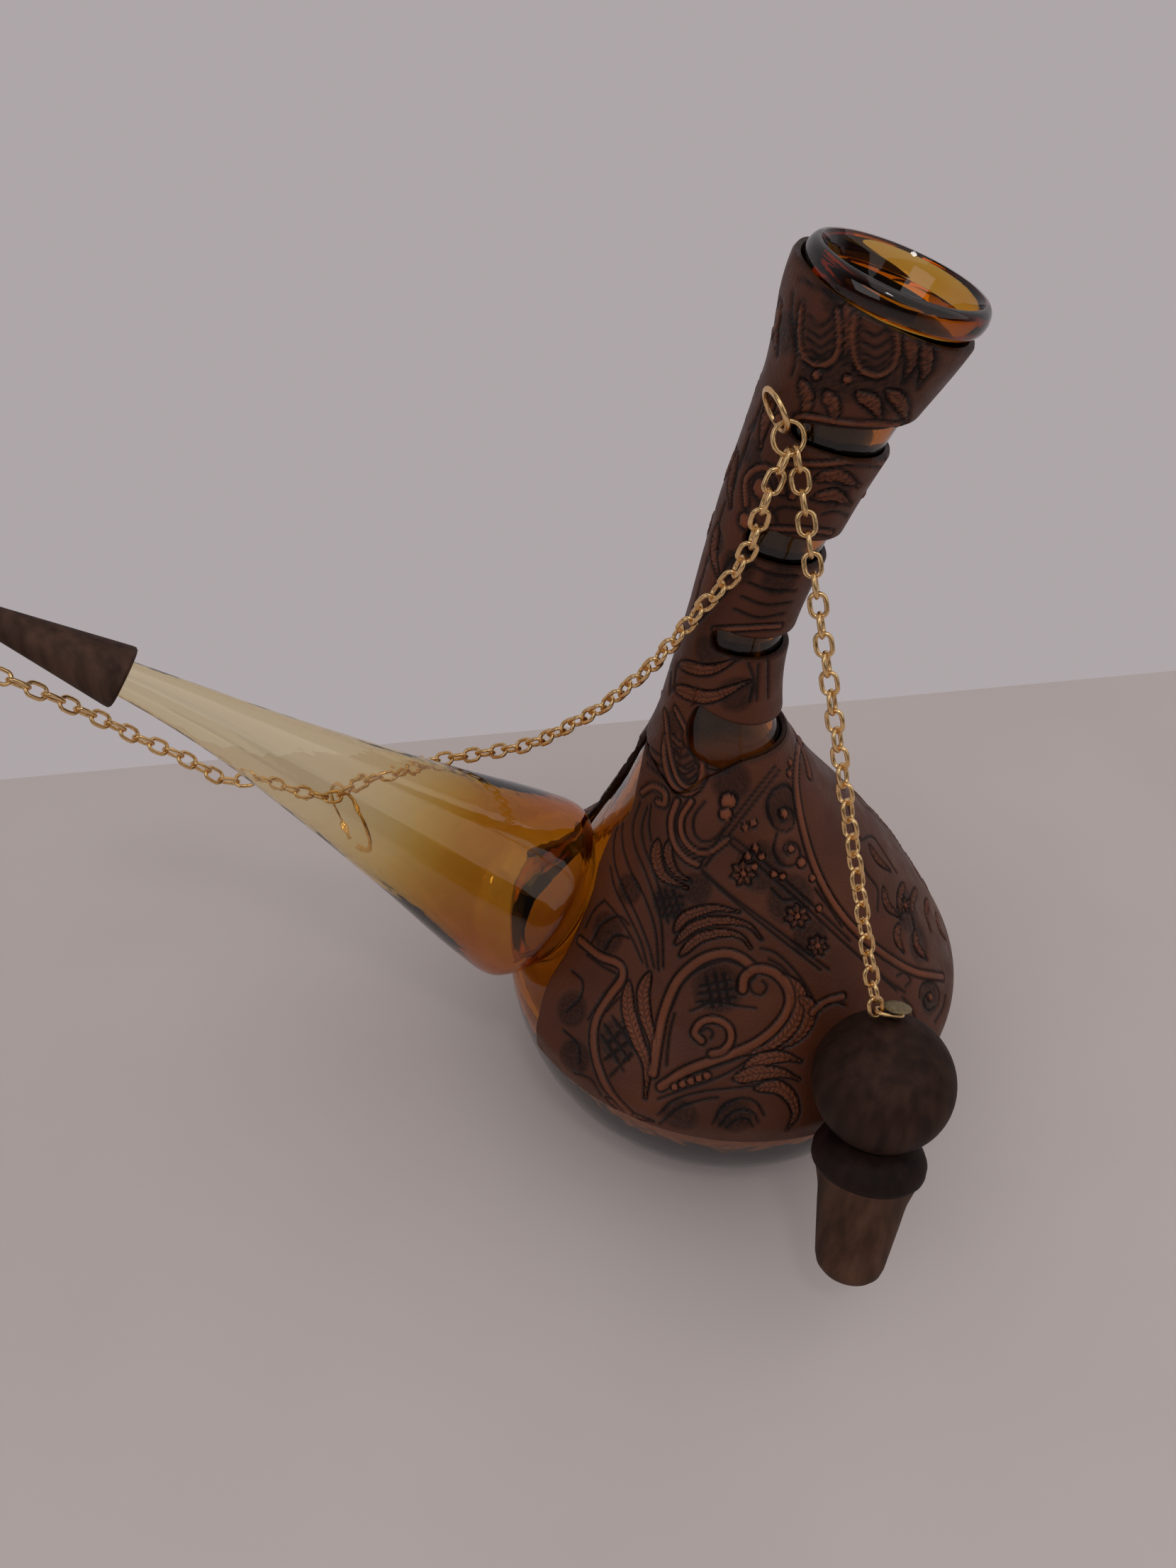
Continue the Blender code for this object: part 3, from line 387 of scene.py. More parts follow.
def circle(centre, one, other, radius, sides):
    """The points of a circle, from one direction towards the other."""
    turns = [2 * math.pi * k / sides for k in range(sides)]
    return [centre + (one * math.cos(turn) + other * math.sin(turn)) * radius for turn in turns]


def ring_points(centre, along, radius, sides):
    """The points of a ring square to a line, starting at -Y as the skin does."""
    return circle(centre, Vector((0, -1, 0)), Vector((along.z, 0, -along.x)), radius, sides)


def band_faces(rows, count, base=0, closed=False):
    """Quads between rings of as many points each; closed joins the last ring to the first."""
    faces = []
    for row in range(rows if closed else rows - 1):
        low = base + row * count
        high = base + (row + 1) % rows * count
        for k in range(count):
            faces.append((low + k, low + (k + 1) % count, high + (k + 1) % count, high + k))
    return faces


def loft(name, rings, mat, smooth=40.0, closed=False):
    """A solid through rings of as many points each; closed makes it a ring itself."""
    count = len(rings[0])
    faces = band_faces(len(rings), count, 0, closed)
    if not closed:
        last = (len(rings) - 1) * count
        faces.append(tuple(reversed(range(count))))
        faces.append(tuple(last + k for k in range(count)))
    return mesh_object(name, [p for ring in rings for p in ring], faces, mat, smooth)


def apply_boolean(obj, other, operation):
    """Join or cut with another shape, and delete that shape."""
    mod = obj.modifiers.new("cut", 'BOOLEAN')
    mod.operation = operation
    mod.solver = 'EXACT'
    mod.object = other
    graph = bpy.context.evaluated_depsgraph_get()
    mesh = bpy.data.meshes.new_from_object(obj.evaluated_get(graph))
    obj.modifiers.clear()
    obj.data = mesh
    bpy.data.objects.remove(other, do_unlink=True)


def spout_frame(s):
    """Point and direction of the spout's centre line, s along it from its start."""
    start = Vector((-SPOUT_ROOT_X, 0, SPOUT_ROOT_Z))
    along = Vector((-math.cos(SPOUT_RISE), 0, math.sin(SPOUT_RISE)))
    if s <= SPOUT_STRAIGHT:
        return start + along * s, along
    bend_radius = SPOUT_BEND / (SPOUT_RISE - SPOUT_TIP_ANGLE)
    run = min(s - SPOUT_STRAIGHT, SPOUT_BEND)
    angle = SPOUT_RISE - run / bend_radius
    point = start + along * SPOUT_STRAIGHT
    point.x -= bend_radius * (math.sin(SPOUT_RISE) - math.sin(angle))
    point.z += bend_radius * (math.cos(angle) - math.cos(SPOUT_RISE))
    along = Vector((-math.cos(angle), 0, math.sin(angle)))
    return point + along * max(0.0, s - SPOUT_STRAIGHT - SPOUT_BEND), along


def rim_ring(radius, lift, sides):
    """A ring of the rim's own tilted frame."""
    along = Vector((math.sin(RIM_ANGLE), 0, math.cos(RIM_ANGLE)))
    return ring_points(Vector((NECK_TOP_X, 0, NECK_TOP_Z)) + along * (lift + RIM_LIFT), along, radius, sides)


def skin_ring(t, sides, depth=0.0):
    """A ring of the glass, or of a surface a depth inside it."""
    phis = np.arange(sides) * 2 * math.pi / sides
    shares = np.full(sides, t)
    return [Vector(p) for p in skin(shares, phis) - skin_normals(shares, phis) * depth]


def spout_solid(name, places, sides, mat, narrowing):
    """A solid along the spout, narrower than its outside by what a function says."""
    rings = []
    for s in places:
        centre, along = spout_frame(float(s))
        radius = max(SPOUT_LEAST, float(smooth_value(SPOUT_RADII, s)) - float(narrowing(s)))
        rings.append(ring_points(centre, along, radius, sides))
    return loft(name, rings, mat)


def glass_piece(mat):
    """The blown vessel, rounder than the part's own facets."""
    upward = Vector((0, 0, 1))
    rings = [ring_points(Vector((0, 0, 0)), upward, FOOT_RADIUS - FOOT_ROUND, GLASS_SIDES)]
    rings += [skin_ring(-angle / 90, GLASS_SIDES) for angle in (86, 80, 70, 60, 50, 40, 30, 20, 10)]
    rings += [skin_ring(t, GLASS_SIDES) for t in (*np.linspace(0.0, 0.965, 64), SLEEVE_TOP)]
    middle = RIM_RADIUS - RIM_WIDTH / 2
    for angle in (-75, -55, -35, -15, 5, 25, 45, 65, 82):
        turn = math.radians(angle)
        rings.append(rim_ring(middle + RIM_WIDTH / 2 * math.cos(turn), RIM_HEIGHT / 2 * math.sin(turn),
                              GLASS_SIDES))
    body = loft("glass", rings, mat)
    places = np.concatenate([np.linspace(SPOUT_START, 0.0075, 3), np.linspace(0.0085, 0.030, 22),
                             np.linspace(0.033, SPOUT_END - 0.0012, 44), [SPOUT_END]])
    spout = spout_solid("spout", places, 64, mat, lambda s: SPOUT_LIP if s == SPOUT_END else 0.0)
    apply_boolean(body, spout, 'UNION')
    inside = []
    floor = (BELLY_HEIGHT - FOOT_THICKNESS) / BELLY_HEIGHT
    inner = BELLY_RADIUS - GLASS_WALL
    foot = FOOT_RADIUS - GLASS_WALL
    for share in (1.0, 0.9, 0.75, 0.6, 0.45, 0.3, 0.15):
        angle = share * math.pi / 2
        centre = Vector((0, 0, BELLY_HEIGHT * (1 - floor * math.sin(angle))))
        inside.append(ring_points(centre, upward, foot + (inner - foot) * math.cos(angle), HOLLOW_SIDES))
    inside += [skin_ring(t, HOLLOW_SIDES, GLASS_WALL) for t in np.linspace(0.0, 0.93, 40)]
    lip = RIM_RADIUS - RIM_WIDTH
    for radius, lift in ((lip - 0.0022, -0.007), (lip - 0.0009, -0.0035), (lip, 0.0),
                         (lip + 0.0008, RIM_HEIGHT * 0.30), (lip + 0.0022, RIM_HEIGHT * 0.6)):
        inside.append(rim_ring(radius, lift, HOLLOW_SIDES))
    apply_boolean(body, loft("hollow", inside, mat), 'DIFFERENCE')
    places = np.concatenate([[-0.004, 0.004], np.linspace(0.008, 0.029, 16),
                             np.linspace(0.033, SPOUT_END - 0.004, 36), [SPOUT_END + 0.004]])
    bore = spout_solid("bore", places, 56, mat, lambda s: smooth_value(SPOUT_WALLS, s))
    apply_boolean(body, bore, 'DIFFERENCE')
    body.data.shade_smooth()
    body.data.set_sharp_from_angle(angle=math.radians(38))
    placed(body, "vessel", "amber_glass", "glass_vessel")


def fill(tree, node, inputs):
    """Give a node's inputs their values, or link them to another node's output."""
    for key, value in inputs.items():
        if isinstance(value, bpy.types.NodeSocket):
            tree.links.new(value, node.inputs[key])
        else:
            node.inputs[key].default_value = value


def new_node(tree, kind, inputs, **settings):
    """A new shader node with its settings and inputs."""
    node = tree.nodes.new("ShaderNode" + kind)
    for key, value in settings.items():
        setattr(node, key, value)
    fill(tree, node, inputs)
    return node


def new_material(name):
    """A new material, its node tree and its Principled shader."""
    mat = bpy.data.materials.new(name)
    mat.use_nodes = True
    return mat, mat.node_tree, mat.node_tree.nodes["Principled BSDF"]


def add_bump(tree, shader, height, strength, distance):
    """Bump on the shader's normal from a height."""
    bump = new_node(tree, "Bump", {"Height": height, "Strength": strength, "Distance": distance})
    fill(tree, shader, {"Normal": bump.outputs["Normal"]})


def color_ramp(tree, value, low, high, dark, light, middle=None):
    """A value mapped from dark at low to light at high, by way of a middle colour at a half."""
    ramp = new_node(tree, "ValToRGB", {"Fac": value})
    elements = ramp.color_ramp.elements
    for element, place, color in ((elements[0], low, dark), (elements[1], high, light)):
        element.position = place
        element.color = (*color, 1)
    if middle:
        elements.new(0.5).color = (*middle, 1)
    return ramp.outputs["Color"]


def noise_ramp(tree, scale, detail, low, high, dark, light, stretch=None):
    """Noise over the object mapped to a colour ramp; returns the colour and the noise."""
    coords = new_node(tree, "TexCoord", {}).outputs["Object"]
    if stretch:
        coords = new_node(tree, "Mapping", {"Vector": coords, "Scale": stretch}).outputs["Vector"]
    noise = new_node(tree, "TexNoise", {"Vector": coords, "Scale": scale, "Detail": detail}).outputs["Fac"]
    return color_ramp(tree, noise, low, high, dark, light), noise


def multiplied(tree, shader, first, second):
    """Two colours multiplied, as the shader's own colour."""
    mix = new_node(tree, "Mix", {"Factor": 1.0, "A": first, "B": second},
                   data_type='RGBA', blend_type='MULTIPLY')
    fill(tree, shader, {"Base Color": mix.outputs["Result"]})


def glass_material():
    """Amber glass that tints with its thickness."""
    mat, tree, shader = new_material("amber_glass")
    fill(tree, shader, {"Base Color": (1.0, 0.985, 0.95, 1), "Roughness": 0.02, "IOR": 1.5,
                        "Specular IOR Level": 0.3, "Transmission Weight": 1.0})
    volume = new_node(tree, "VolumeAbsorption", {"Color": (0.90, 0.70, 0.06, 1), "Density": 760.0})
    fill(tree, tree.nodes["Material Output"], {"Volume": volume.outputs[0]})
    noise = new_node(tree, "TexNoise", {"Scale": 22.0, "Detail": 2.0})
    add_bump(tree, shader, noise.outputs["Fac"], 0.10, 0.0015)
    return mat


def leather_material():
    """Antiqued leather: a tooled attribute darkens the grooves and lightens the worn ridges."""
    mat, tree, shader = new_material("tooled_leather")
    tool = new_node(tree, "Attribute", {}, attribute_name="tool").outputs["Fac"]
    color = color_ramp(tree, tool, 0.10, 0.92, LEATHER_GROOVE, LEATHER_RIDGE, LEATHER_PLAIN)
    blotch, _ = noise_ramp(tree, 38.0, 5.0, 0.30, 0.72, (0.72, 0.68, 0.66), (1.22, 1.12, 1.05))
    multiplied(tree, shader, color, blotch)
    rough, _ = noise_ramp(tree, 160.0, 4.0, 0.3, 0.7, (0.36,) * 3, (0.56,) * 3)
    fill(tree, shader, {"Roughness": rough, "Specular IOR Level": 0.2})
    coords = new_node(tree, "TexCoord", {}).outputs["Object"]
    pores = new_node(tree, "TexVoronoi", {"Vector": coords, "Scale": 1500.0}).outputs["Distance"]
    fine = new_node(tree, "TexNoise", {"Vector": coords, "Scale": 700.0, "Detail": 3.0}).outputs["Fac"]
    both = new_node(tree, "Math", {0: pores, 1: fine}, operation='ADD').outputs[0]
    add_bump(tree, shader, both, 0.35, 0.00025)
    return mat


def wood_material(name, dark, light):
    """Stained wood with fine streaks along one way and open pores."""
    mat, tree, shader = new_material(name)
    streaks, noise = noise_ramp(tree, 260.0, 6.0, 0.32, 0.70, dark, light, (1, 1, 0.12))
    blotch, _ = noise_ramp(tree, 45.0, 3.0, 0.30, 0.72, (0.75, 0.74, 0.74), (1.25, 1.2, 1.15))
    multiplied(tree, shader, streaks, blotch)
    fill(tree, shader, {"Roughness": 0.62, "Specular IOR Level": 0.1})
    add_bump(tree, shader, noise, 0.35, 0.0003)
    return mat


def metal_material(name, color, worn, rough):
    """Metal wire with a slightly uneven polish."""
    mat, tree, shader = new_material(name)
    polish, _ = noise_ramp(tree, 900.0, 3.0, 0.30, 0.68, worn, color)
    gloss, _ = noise_ramp(tree, 1400.0, 2.0, 0.3, 0.7, (rough * 0.8,) * 3, (rough * 1.4,) * 3)
    fill(tree, shader, {"Metallic": 1.0, "Base Color": polish, "Roughness": gloss})
    return mat


def turned(name, start, along, profile, mat, sides=72, smooth=40.0):
    """A turned solid; the profile holds (distance along, radius) from its start."""
    side = along.orthogonal().normalized()
    other = along.cross(side)
    rings = [circle(start + along * distance, side, other, radius, sides) for distance, radius in profile]
    return loft(name, rings, mat, smooth)


def smooth_profile(stations, count):
    """A profile through a few (distance, radius) stations, with rounded changes."""
    out = []
    for k in range(count + 1):
        place = stations[0][0] + (stations[-1][0] - stations[0][0]) * k / count
        out.append((place, float(smooth_value(stations, place))))
    return out


def neck_ring_frame():
    """Centre, normal and the direction from the leather to the centre of the neck ring."""
    t, degrees = NECK_RING_SEAT
    phi = math.radians(degrees)
    out = skin_normal(t, phi)
    seat = skin_point(t, phi) + out * (LEATHER_GAP + LEATHER * 0.5)
    level = (skin_point(t, phi + 0.02) - skin_point(t, phi - 0.02)).normalized()
    level = Matrix.Rotation(NECK_RING_TURN, 3, -out) @ level
    upward = out.cross(level)
    away = upward * math.cos(NECK_RING_LEAN) + out * math.sin(NECK_RING_LEAN)
    return seat + away * NECK_RING_RADIUS, level.cross(away).normalized(), away


def ring_hook(degrees):
    """A point on the neck ring and the wire's direction there."""
    centre, normal, across = neck_ring_frame()
    angle = math.radians(degrees)
    spoke = across * math.cos(angle) + normal.cross(across) * math.sin(angle)
    return centre + spoke * NECK_RING_RADIUS, normal.cross(spoke).normalized()


def link_line(centre, along, normal, half, width):
    """The wire's middle line of one oval link."""
    across = normal.cross(along).normalized()
    side = (width - CHAIN_WIRE) / 2
    straight = max(half - side, 0.0)
    points = []
    for k in range(LINK_STEPS):
        angle = 2 * math.pi * k / LINK_STEPS
        u = math.cos(angle) * side + (straight if math.cos(angle) > 0 else -straight)
        if abs(math.cos(angle)) < 1e-6:
            u = 0.0
        points.append(centre + along * u + across * math.sin(angle) * side)
    return points


def link_mesh(name, places, half, width, mat):
    """Oval links of round wire, each its own closed loop, as one mesh."""
    verts = []
    faces = []
    for centre, along, normal in places:
        line = link_line(centre, along, normal, half, width)
        faces += band_faces(LINK_STEPS, LINK_SIDES, len(verts), True)
        for i in range(LINK_STEPS):
            tangent = (line[(i + 1) % LINK_STEPS] - line[i - 1]).normalized()
            spoke = tangent.cross(normal).normalized()
            verts += circle(line[i], spoke, normal, CHAIN_WIRE / 2, LINK_SIDES)
    return mesh_object(name, verts, faces, mat, 60)


def spline(pts, per_span):
    """Points on a smooth curve through a few, which are vectors or arrays."""
    ends = [pts[0] * 2 - pts[1]] + pts + [pts[-1] * 2 - pts[-2]]
    out = []
    for i in range(1, len(ends) - 2):
        a, b, c, d = ends[i - 1:i + 3]
        for k in range(per_span):
            u = k / per_span
            out.append(0.5 * (2 * b + (c - a) * u + (2 * a - 5 * b + 4 * c - d) * u * u
                              + (3 * b - a - 3 * c + d) * u ** 3))
    return out + [pts[-1]]


def at_length(route, lengths, s):
    """The point of a route at a length along it."""
    k = max(j for j in range(len(lengths)) if lengths[j] <= s)
    k = min(k, len(route) - 2)
    return route[k].lerp(route[k + 1], (s - lengths[k]) / (lengths[k + 1] - lengths[k]))


def chain_places(points, first_wire, last_wire):
    """Where the links of a chain lie, as in the part's source; returns places and their half length."""
    route = spline([Vector(p) for p in points], ROUTE_STEPS)
    lengths = [0.0]
    for a, b in zip(route, route[1:]):
        lengths.append(lengths[-1] + (b - a).length)
    reach = RING_WIRE / 2 + CHAIN_WIRE / 2 + FIT
    total = lengths[-1]
    best = None
    for count in range(2, 120):
        pitch = (total + 2 * reach - CHAIN_WIRE + LINK_BITE) / count
        if best is None or abs(pitch - LINK_PITCH) < abs(best[1] - LINK_PITCH):
            best = (count, pitch)
    count, pitch = best
    half = (pitch + CHAIN_WIRE - LINK_BITE) / 2
    normal = first_wire.normalized()
    frames = []
    for i in range(count):
        s = min(max(half - reach + i * pitch, 0.0), total)
        along = (at_length(route, lengths, min(total, s + pitch * 0.5))
                 - at_length(route, lengths, max(0.0, s - pitch * 0.5))).normalized()
        normal = (normal - along * normal.dot(along)).normalized()
        frames.append((at_length(route, lengths, s), along, normal.copy()))
    quarter = 0 if (count - 1) % 2 == 0 else 1
    _, end_along, end_normal = frames[-1]
    goal = (last_wire - end_along * last_wire.dot(end_along)).normalized()
    turn = math.atan2(end_normal.cross(goal).dot(end_along), end_normal.dot(goal))
    turn = (turn - quarter * math.pi / 2 + math.pi / 2) % math.pi - math.pi / 2
    places = []
    for i, (centre, along, normal) in enumerate(frames):
        angle = i * math.pi / 2 + turn * i / (count - 1)
        places.append((centre, along, Matrix.Rotation(angle, 3, along) @ normal))
    return places, half


def ball_centre():
    """Where the ball lies against the belly cover."""
    t, degrees = BALL_SEAT
    phi = math.radians(degrees)
    return skin_point(t, phi) + skin_normal(t, phi) * (LEATHER_GAP + LEATHER + FIT + BALL_RADIUS)


def stopper_axis():
    """Direction from the ball to the plug's end."""
    level = Vector((math.sin(STOPPER_AZIMUTH), -math.cos(STOPPER_AZIMUTH), 0))
    return level * math.sin(STOPPER_LEAN) - Vector((0, 0, 1)) * math.cos(STOPPER_LEAN)


def nail_link_place(half, surface, inward, toward, lift, tilt):
    """Where the link round a nail lies, and its far bar."""
    level = (toward - inward * toward.dot(inward)).normalized()
    along = level * math.cos(tilt) - inward * math.sin(tilt)
    normal = -inward * math.cos(tilt) - level * math.sin(tilt)
    slack = half - CHAIN_WIRE / 2 - NAIL_RADIUS - FIT
    centre = surface - inward * lift + along * slack
    return (centre, along, normal), centre + along * half, normal.cross(along)


def mirrored(phi_degrees):
    """The like angle on the front half, from -90 at the spout to 90 opposite it."""
    turned_by = (phi_degrees + 90) % 360 - 90
    return np.where(turned_by <= 90, turned_by, 180 - turned_by)


def seam_height(phi):
    """Where the belly cover meets the neck sleeve, as a share of the neck's way."""
    return smooth_value(COLLAR_SEAM, mirrored(np.degrees(phi)))


def belly_grid():
    """Places of the belly cover's fine grid: arrays of t and phi."""
    hem = -math.asin(1 - COVER_HEM_Z / BELLY_HEIGHT) / (math.pi / 2)
    top = COVER_SIDE[-1][0]
    dense = np.linspace(hem, top, ROW_SAMPLES)
    pts = skin(dense, np.full(ROW_SAMPLES, ROW_ANGLE))
    run = np.concatenate([[0], np.cumsum(np.linalg.norm(np.diff(pts, axis=0), axis=1))])
    rows = 2 * int(run[-1] / LEATHER_STEP / 2) + 1
    nominal = np.interp(np.linspace(0, run[-1], rows), run, dense)
    side = np.radians(smooth_value(COVER_SIDE, nominal))
    side = side + COVER_SEAM_GAP / 2 / smooth_value(NECK_RADII, np.clip(nominal, 0, None))
    cols = 2 * int(BELLY_RADIUS * (math.pi - 2 * side[0]) / LEATHER_STEP / 2) + 1
    across = np.linspace(0, 1, cols)
    bare = BACK_BARE * np.clip((nominal - BARE_START) / BARE_RUN, 0, 1)
    phi = side[:, None] + (math.pi - 2 * side - bare)[:, None] * across[None, :]
    bend = np.clip((nominal - SEAM_BEND) / (top - SEAM_BEND), 0, 1)[:, None]
    t = nominal[:, None] + bend * (seam_height(phi) - SEAM_HALF_GAP - top)
    return t, phi


def window_lines(front, back, phi):
    """Lower and upper edge of a window at angles phi; they meet outside it."""
    span = math.pi - 2 * WINDOW_FRONT_ANGLE
    share = ((phi - WINDOW_FRONT_ANGLE) % (2 * math.pi)) / span
    inside = share <= 1
    blend = np.sin(math.pi * np.clip(share, 0, 1))
    low = front[0] + (back[0] - front[0]) * blend
    high = front[1] + (back[1] - front[1]) * blend
    end = np.minimum(share, 1 - share) * span * 0.016 / WINDOW_END_RUN
    round_off = np.sqrt(np.clip(1 - (1 - np.clip(end, 0, 1)) ** 2, 0, 1))
    middle = (low + high) / 2
    half = np.where(inside, (high - low) / 2 * round_off, 0.0)
    return middle - half, middle + half


def sleeve_grids():
    """Places of the neck sleeve's bands, from the seam up: a list of (t, phi) arrays."""
    cols = 2 * int(2 * math.pi * NECK_MEAN_RADIUS / LEATHER_STEP / 2)
    phi = -math.pi / 2 + np.arange(cols + 1) * 2 * math.pi / cols
    lines = [seam_height(phi) + SEAM_HALF_GAP]
    for front, back in WINDOWS[::-1]:
        low, high = window_lines(front, back, phi)
        lines += [np.maximum(low, lines[0]), np.maximum(high, lines[0])]
    lines.append(sleeve_top(phi))
    grids = []
    for low, high in zip(lines[0::2], lines[1::2]):
        height = NECK_TOP_Z - BELLY_HEIGHT
        rows = max(3, int(np.max(high - low) * height / LEATHER_STEP) + 1)
        share = np.linspace(0, 1, rows)[:, None]
        grids.append((low[None, :] + (high - low)[None, :] * share, np.repeat(phi[None, :], rows, 0)))
    return grids


def px_places(pixels):
    """Places (t, phi) on the leather that the photograph shows at some pixels."""
    pixels = np.asarray(pixels, float).reshape(-1, 2)
    if "screen" not in PATTERN:
        t, phi = np.meshgrid(np.linspace(PATTERN_LOW, SLEEVE_TOP, 130),
                             np.radians(np.linspace(-100, 100, 110)), indexing="ij")
        pts = cover(t, phi)
        facing = np.sum((np.array(CAMERA_AT) - pts) * skin_normals(t, phi), -1) > 0.01
        PATTERN["screen"] = (t[facing], phi[facing], project(pts[facing]))
    t_all, phi_all, screen = PATTERN["screen"]
    near = np.array([np.argmin(np.sum((screen - p) ** 2, 1)) for p in pixels])
    t, phi = t_all[near].copy(), phi_all[near].copy()

    def shown(t, phi):
        return project(cover(t, phi))

    for _ in range(5):
        here = shown(t, phi)
        dt = (shown(t + 1e-4, phi) - here) / 1e-4
        dphi = (shown(t, phi + 1e-3) - here) / 1e-3
        miss = pixels - here
        det = dt[:, 0] * dphi[:, 1] - dt[:, 1] * dphi[:, 0]
        det = np.where(np.abs(det) < 1e3, 1e3, det)
        step_t = (miss[:, 0] * dphi[:, 1] - miss[:, 1] * dphi[:, 0]) / det
        step_phi = (dt[:, 0] * miss[:, 1] - dt[:, 1] * miss[:, 0]) / det
        t = np.clip(t + np.clip(step_t, -0.01, 0.01), PATTERN_LOW, SLEEVE_TOP)
        phi = phi + np.clip(step_phi, -0.06, 0.06)
    return t, phi


# The relief's depths and widths in metres, and how its height darkens or lightens the leather
LEAF_EDGE = 0.00040
RIB_DEPTH = 0.00034
VEIN_WIDTH = 0.00028
LEAF_END = 0.93
OUTLINE_DEPTH = 0.00050
BOSS_GROOVE = 0.00045
GROUND_DEPTH = 0.00012
GROUND_GRAIN = 0.00016
PLAIN_TONE = 0.56
RISE_TONE = 900
CUT_TONE = 1150
GROUND_TONE = 0.12
GRAIN_TONE = 0.26


class Tooling:
    """Height and darkness of the leather's relief over a set of surface points."""

    def __init__(self, points):
        self.views = [points, points * np.array([1.0, -1.0, 1.0])]
        self.cut_layer = np.zeros(len(points))
        self.rise_layer = np.zeros(len(points))
        self.matting = np.zeros(len(points))

    def near(self, line, reach):
        """Indices of the points near a line, on the front and on the mirrored back."""
        low = line.min(0) - reach
        high = line.max(0) + reach
        for pts in self.views:
            found = np.nonzero(np.all((pts > low) & (pts < high), axis=1))[0]
            if len(found):
                yield found, pts[found]

    @staticmethod
    def along(points, line):
        """Distance to a line, its sign and the length along it, for each point."""
        best = np.full(len(points), 1e9)
        sign = np.zeros(len(points))
        place = np.zeros(len(points))
        length = 0.0
        for a, b in zip(line[:-1], line[1:]):
            way = b - a
            size = float(np.linalg.norm(way))
            if size < 1e-9:
                continue
            way = way / size
            rel = points - a
            s = np.clip(rel @ way, 0, size)
            off = rel - s[:, None] * way
            dist = np.linalg.norm(off, axis=1)
            better = dist < best
            best = np.where(better, dist, best)
            out = points / np.linalg.norm(points[:, :2], axis=1)[:, None]
            side = np.sum(np.cross(way[None, :], off) * out, axis=1)
            sign = np.where(better, np.sign(side), sign)
            place = np.where(better, length + s, place)
            length += size
        return best, sign, place, length

    def cut(self, line, width=0.00045, depth=0.00042):
        """A rounded groove along a line."""
        for found, pts in self.near(line, width * 3):
            dist = self.along(pts, line)[0]
            self.cut_layer[found] = np.minimum(self.cut_layer[found], -depth * np.exp(-(dist / width) ** 2))

    def strap(self, line, width=0.0011, rise=0.00022, edge=0.00038, depth=0.00045):
        """A smooth raised strap between two grooves."""
        for found, pts in self.near(line, width + edge * 4):
            dist = self.along(pts, line)[0]
            body = rise * np.clip(1 - (dist / width) ** 4, 0, 1)
            self.rise_layer[found] = np.maximum(self.rise_layer[found], body)
            groove = -depth * np.exp(-((dist - width - edge) / edge) ** 2)
            inside = dist < width
            layer = self.cut_layer[found]
            self.cut_layer[found] = np.where(inside, layer * 0.2, np.minimum(layer, groove))

    def leaf(self, line, width, ribs=0.0013, slant=1.0, rise=0.0003, blunt=0.6, vein=True):
        """A raised leaf or scroll along a line, ribbed across, its outline cut round it."""
        edge = LEAF_EDGE
        for found, pts in self.near(line, width + edge * 3):
            dist, sign, place, length = self.along(pts, line)
            share = np.clip(place / length, 0.0, 1.0)
            wide = width * np.clip(np.sin(math.pi * np.clip(share, 0, 1) ** blunt), 0.08, 1)
            inner = np.clip(1 - (dist / wide) ** 2, 0, 1)
            body = rise * np.sqrt(inner)
            phase = (place + slant * dist) / ribs
            rib = np.exp(-((phase - np.round(phase)) / 0.17) ** 2)
            rib = rib * np.clip((dist / wide - 0.12) / 0.15, 0, 1) * np.clip((0.93 - dist / wide) / 0.1, 0, 1)
            lines = -RIB_DEPTH * rib
            if vein:
                lines = np.minimum(lines, -RIB_DEPTH * np.exp(-(dist / VEIN_WIDTH) ** 2) * (share < LEAF_END))
            outline = -OUTLINE_DEPTH * np.exp(-((dist - wide - edge * 0.7) / edge) ** 2)
            inside = dist < wide
            self.rise_layer[found] = np.where(inside, np.maximum(self.rise_layer[found], body),
                                              self.rise_layer[found])
            layer = self.cut_layer[found]
            self.cut_layer[found] = np.where(inside, lines,
                                             np.minimum(layer, outline))
            self.matting[found] = np.where(inside, 0.0, self.matting[found])

    def boss(self, centre, radius, rise=0.00035):
        """A small dome with a groove round it."""
        line = np.array([centre, centre + np.array([0, 0, 1e-6])])
        for found, pts in self.near(line, radius * 1.8):
            dist = np.linalg.norm(pts - centre, axis=1)
            dome = rise * np.sqrt(np.clip(1 - (dist / radius) ** 2, 0, 1))
            self.rise_layer[found] = np.maximum(self.rise_layer[found], dome)
            groove = -BOSS_GROOVE * np.exp(-((dist - radius * 1.15) / (radius * 0.28)) ** 2)
            self.cut_layer[found] = np.where(dist < radius, 0.0, np.minimum(self.cut_layer[found], groove))

    def ground(self, centre, radius):
        """A patch of beaten-down, stippled ground round a point."""
        line = np.array([centre, centre + np.array([0, 0, 1e-6])])
        for found, pts in self.near(line, radius):
            dist = np.linalg.norm(pts - centre, axis=1) / radius
            self.matting[found] = np.maximum(self.matting[found], np.clip((1 - dist) * 4, 0, 1))

    def height(self, grain):
        """The relief in metres, and the darkness value from 0 to 1."""
        ground = np.where(self.rise_layer > 0.00002, 0.0, self.matting)
        height = self.rise_layer + self.cut_layer - ground * (GROUND_DEPTH + GROUND_GRAIN * grain)
        tool = PLAIN_TONE + self.rise_layer * RISE_TONE + self.cut_layer * CUT_TONE
        tool = tool - ground * (GROUND_TONE + GRAIN_TONE * grain)
        return height, np.clip(tool, 0, 1)


def surface_line(points, per_span):
    """3-D points on the leather along a smooth curve through a few pixels of the photograph."""
    return cover(*px_places(spline([np.array(p, float) for p in points], per_span)))


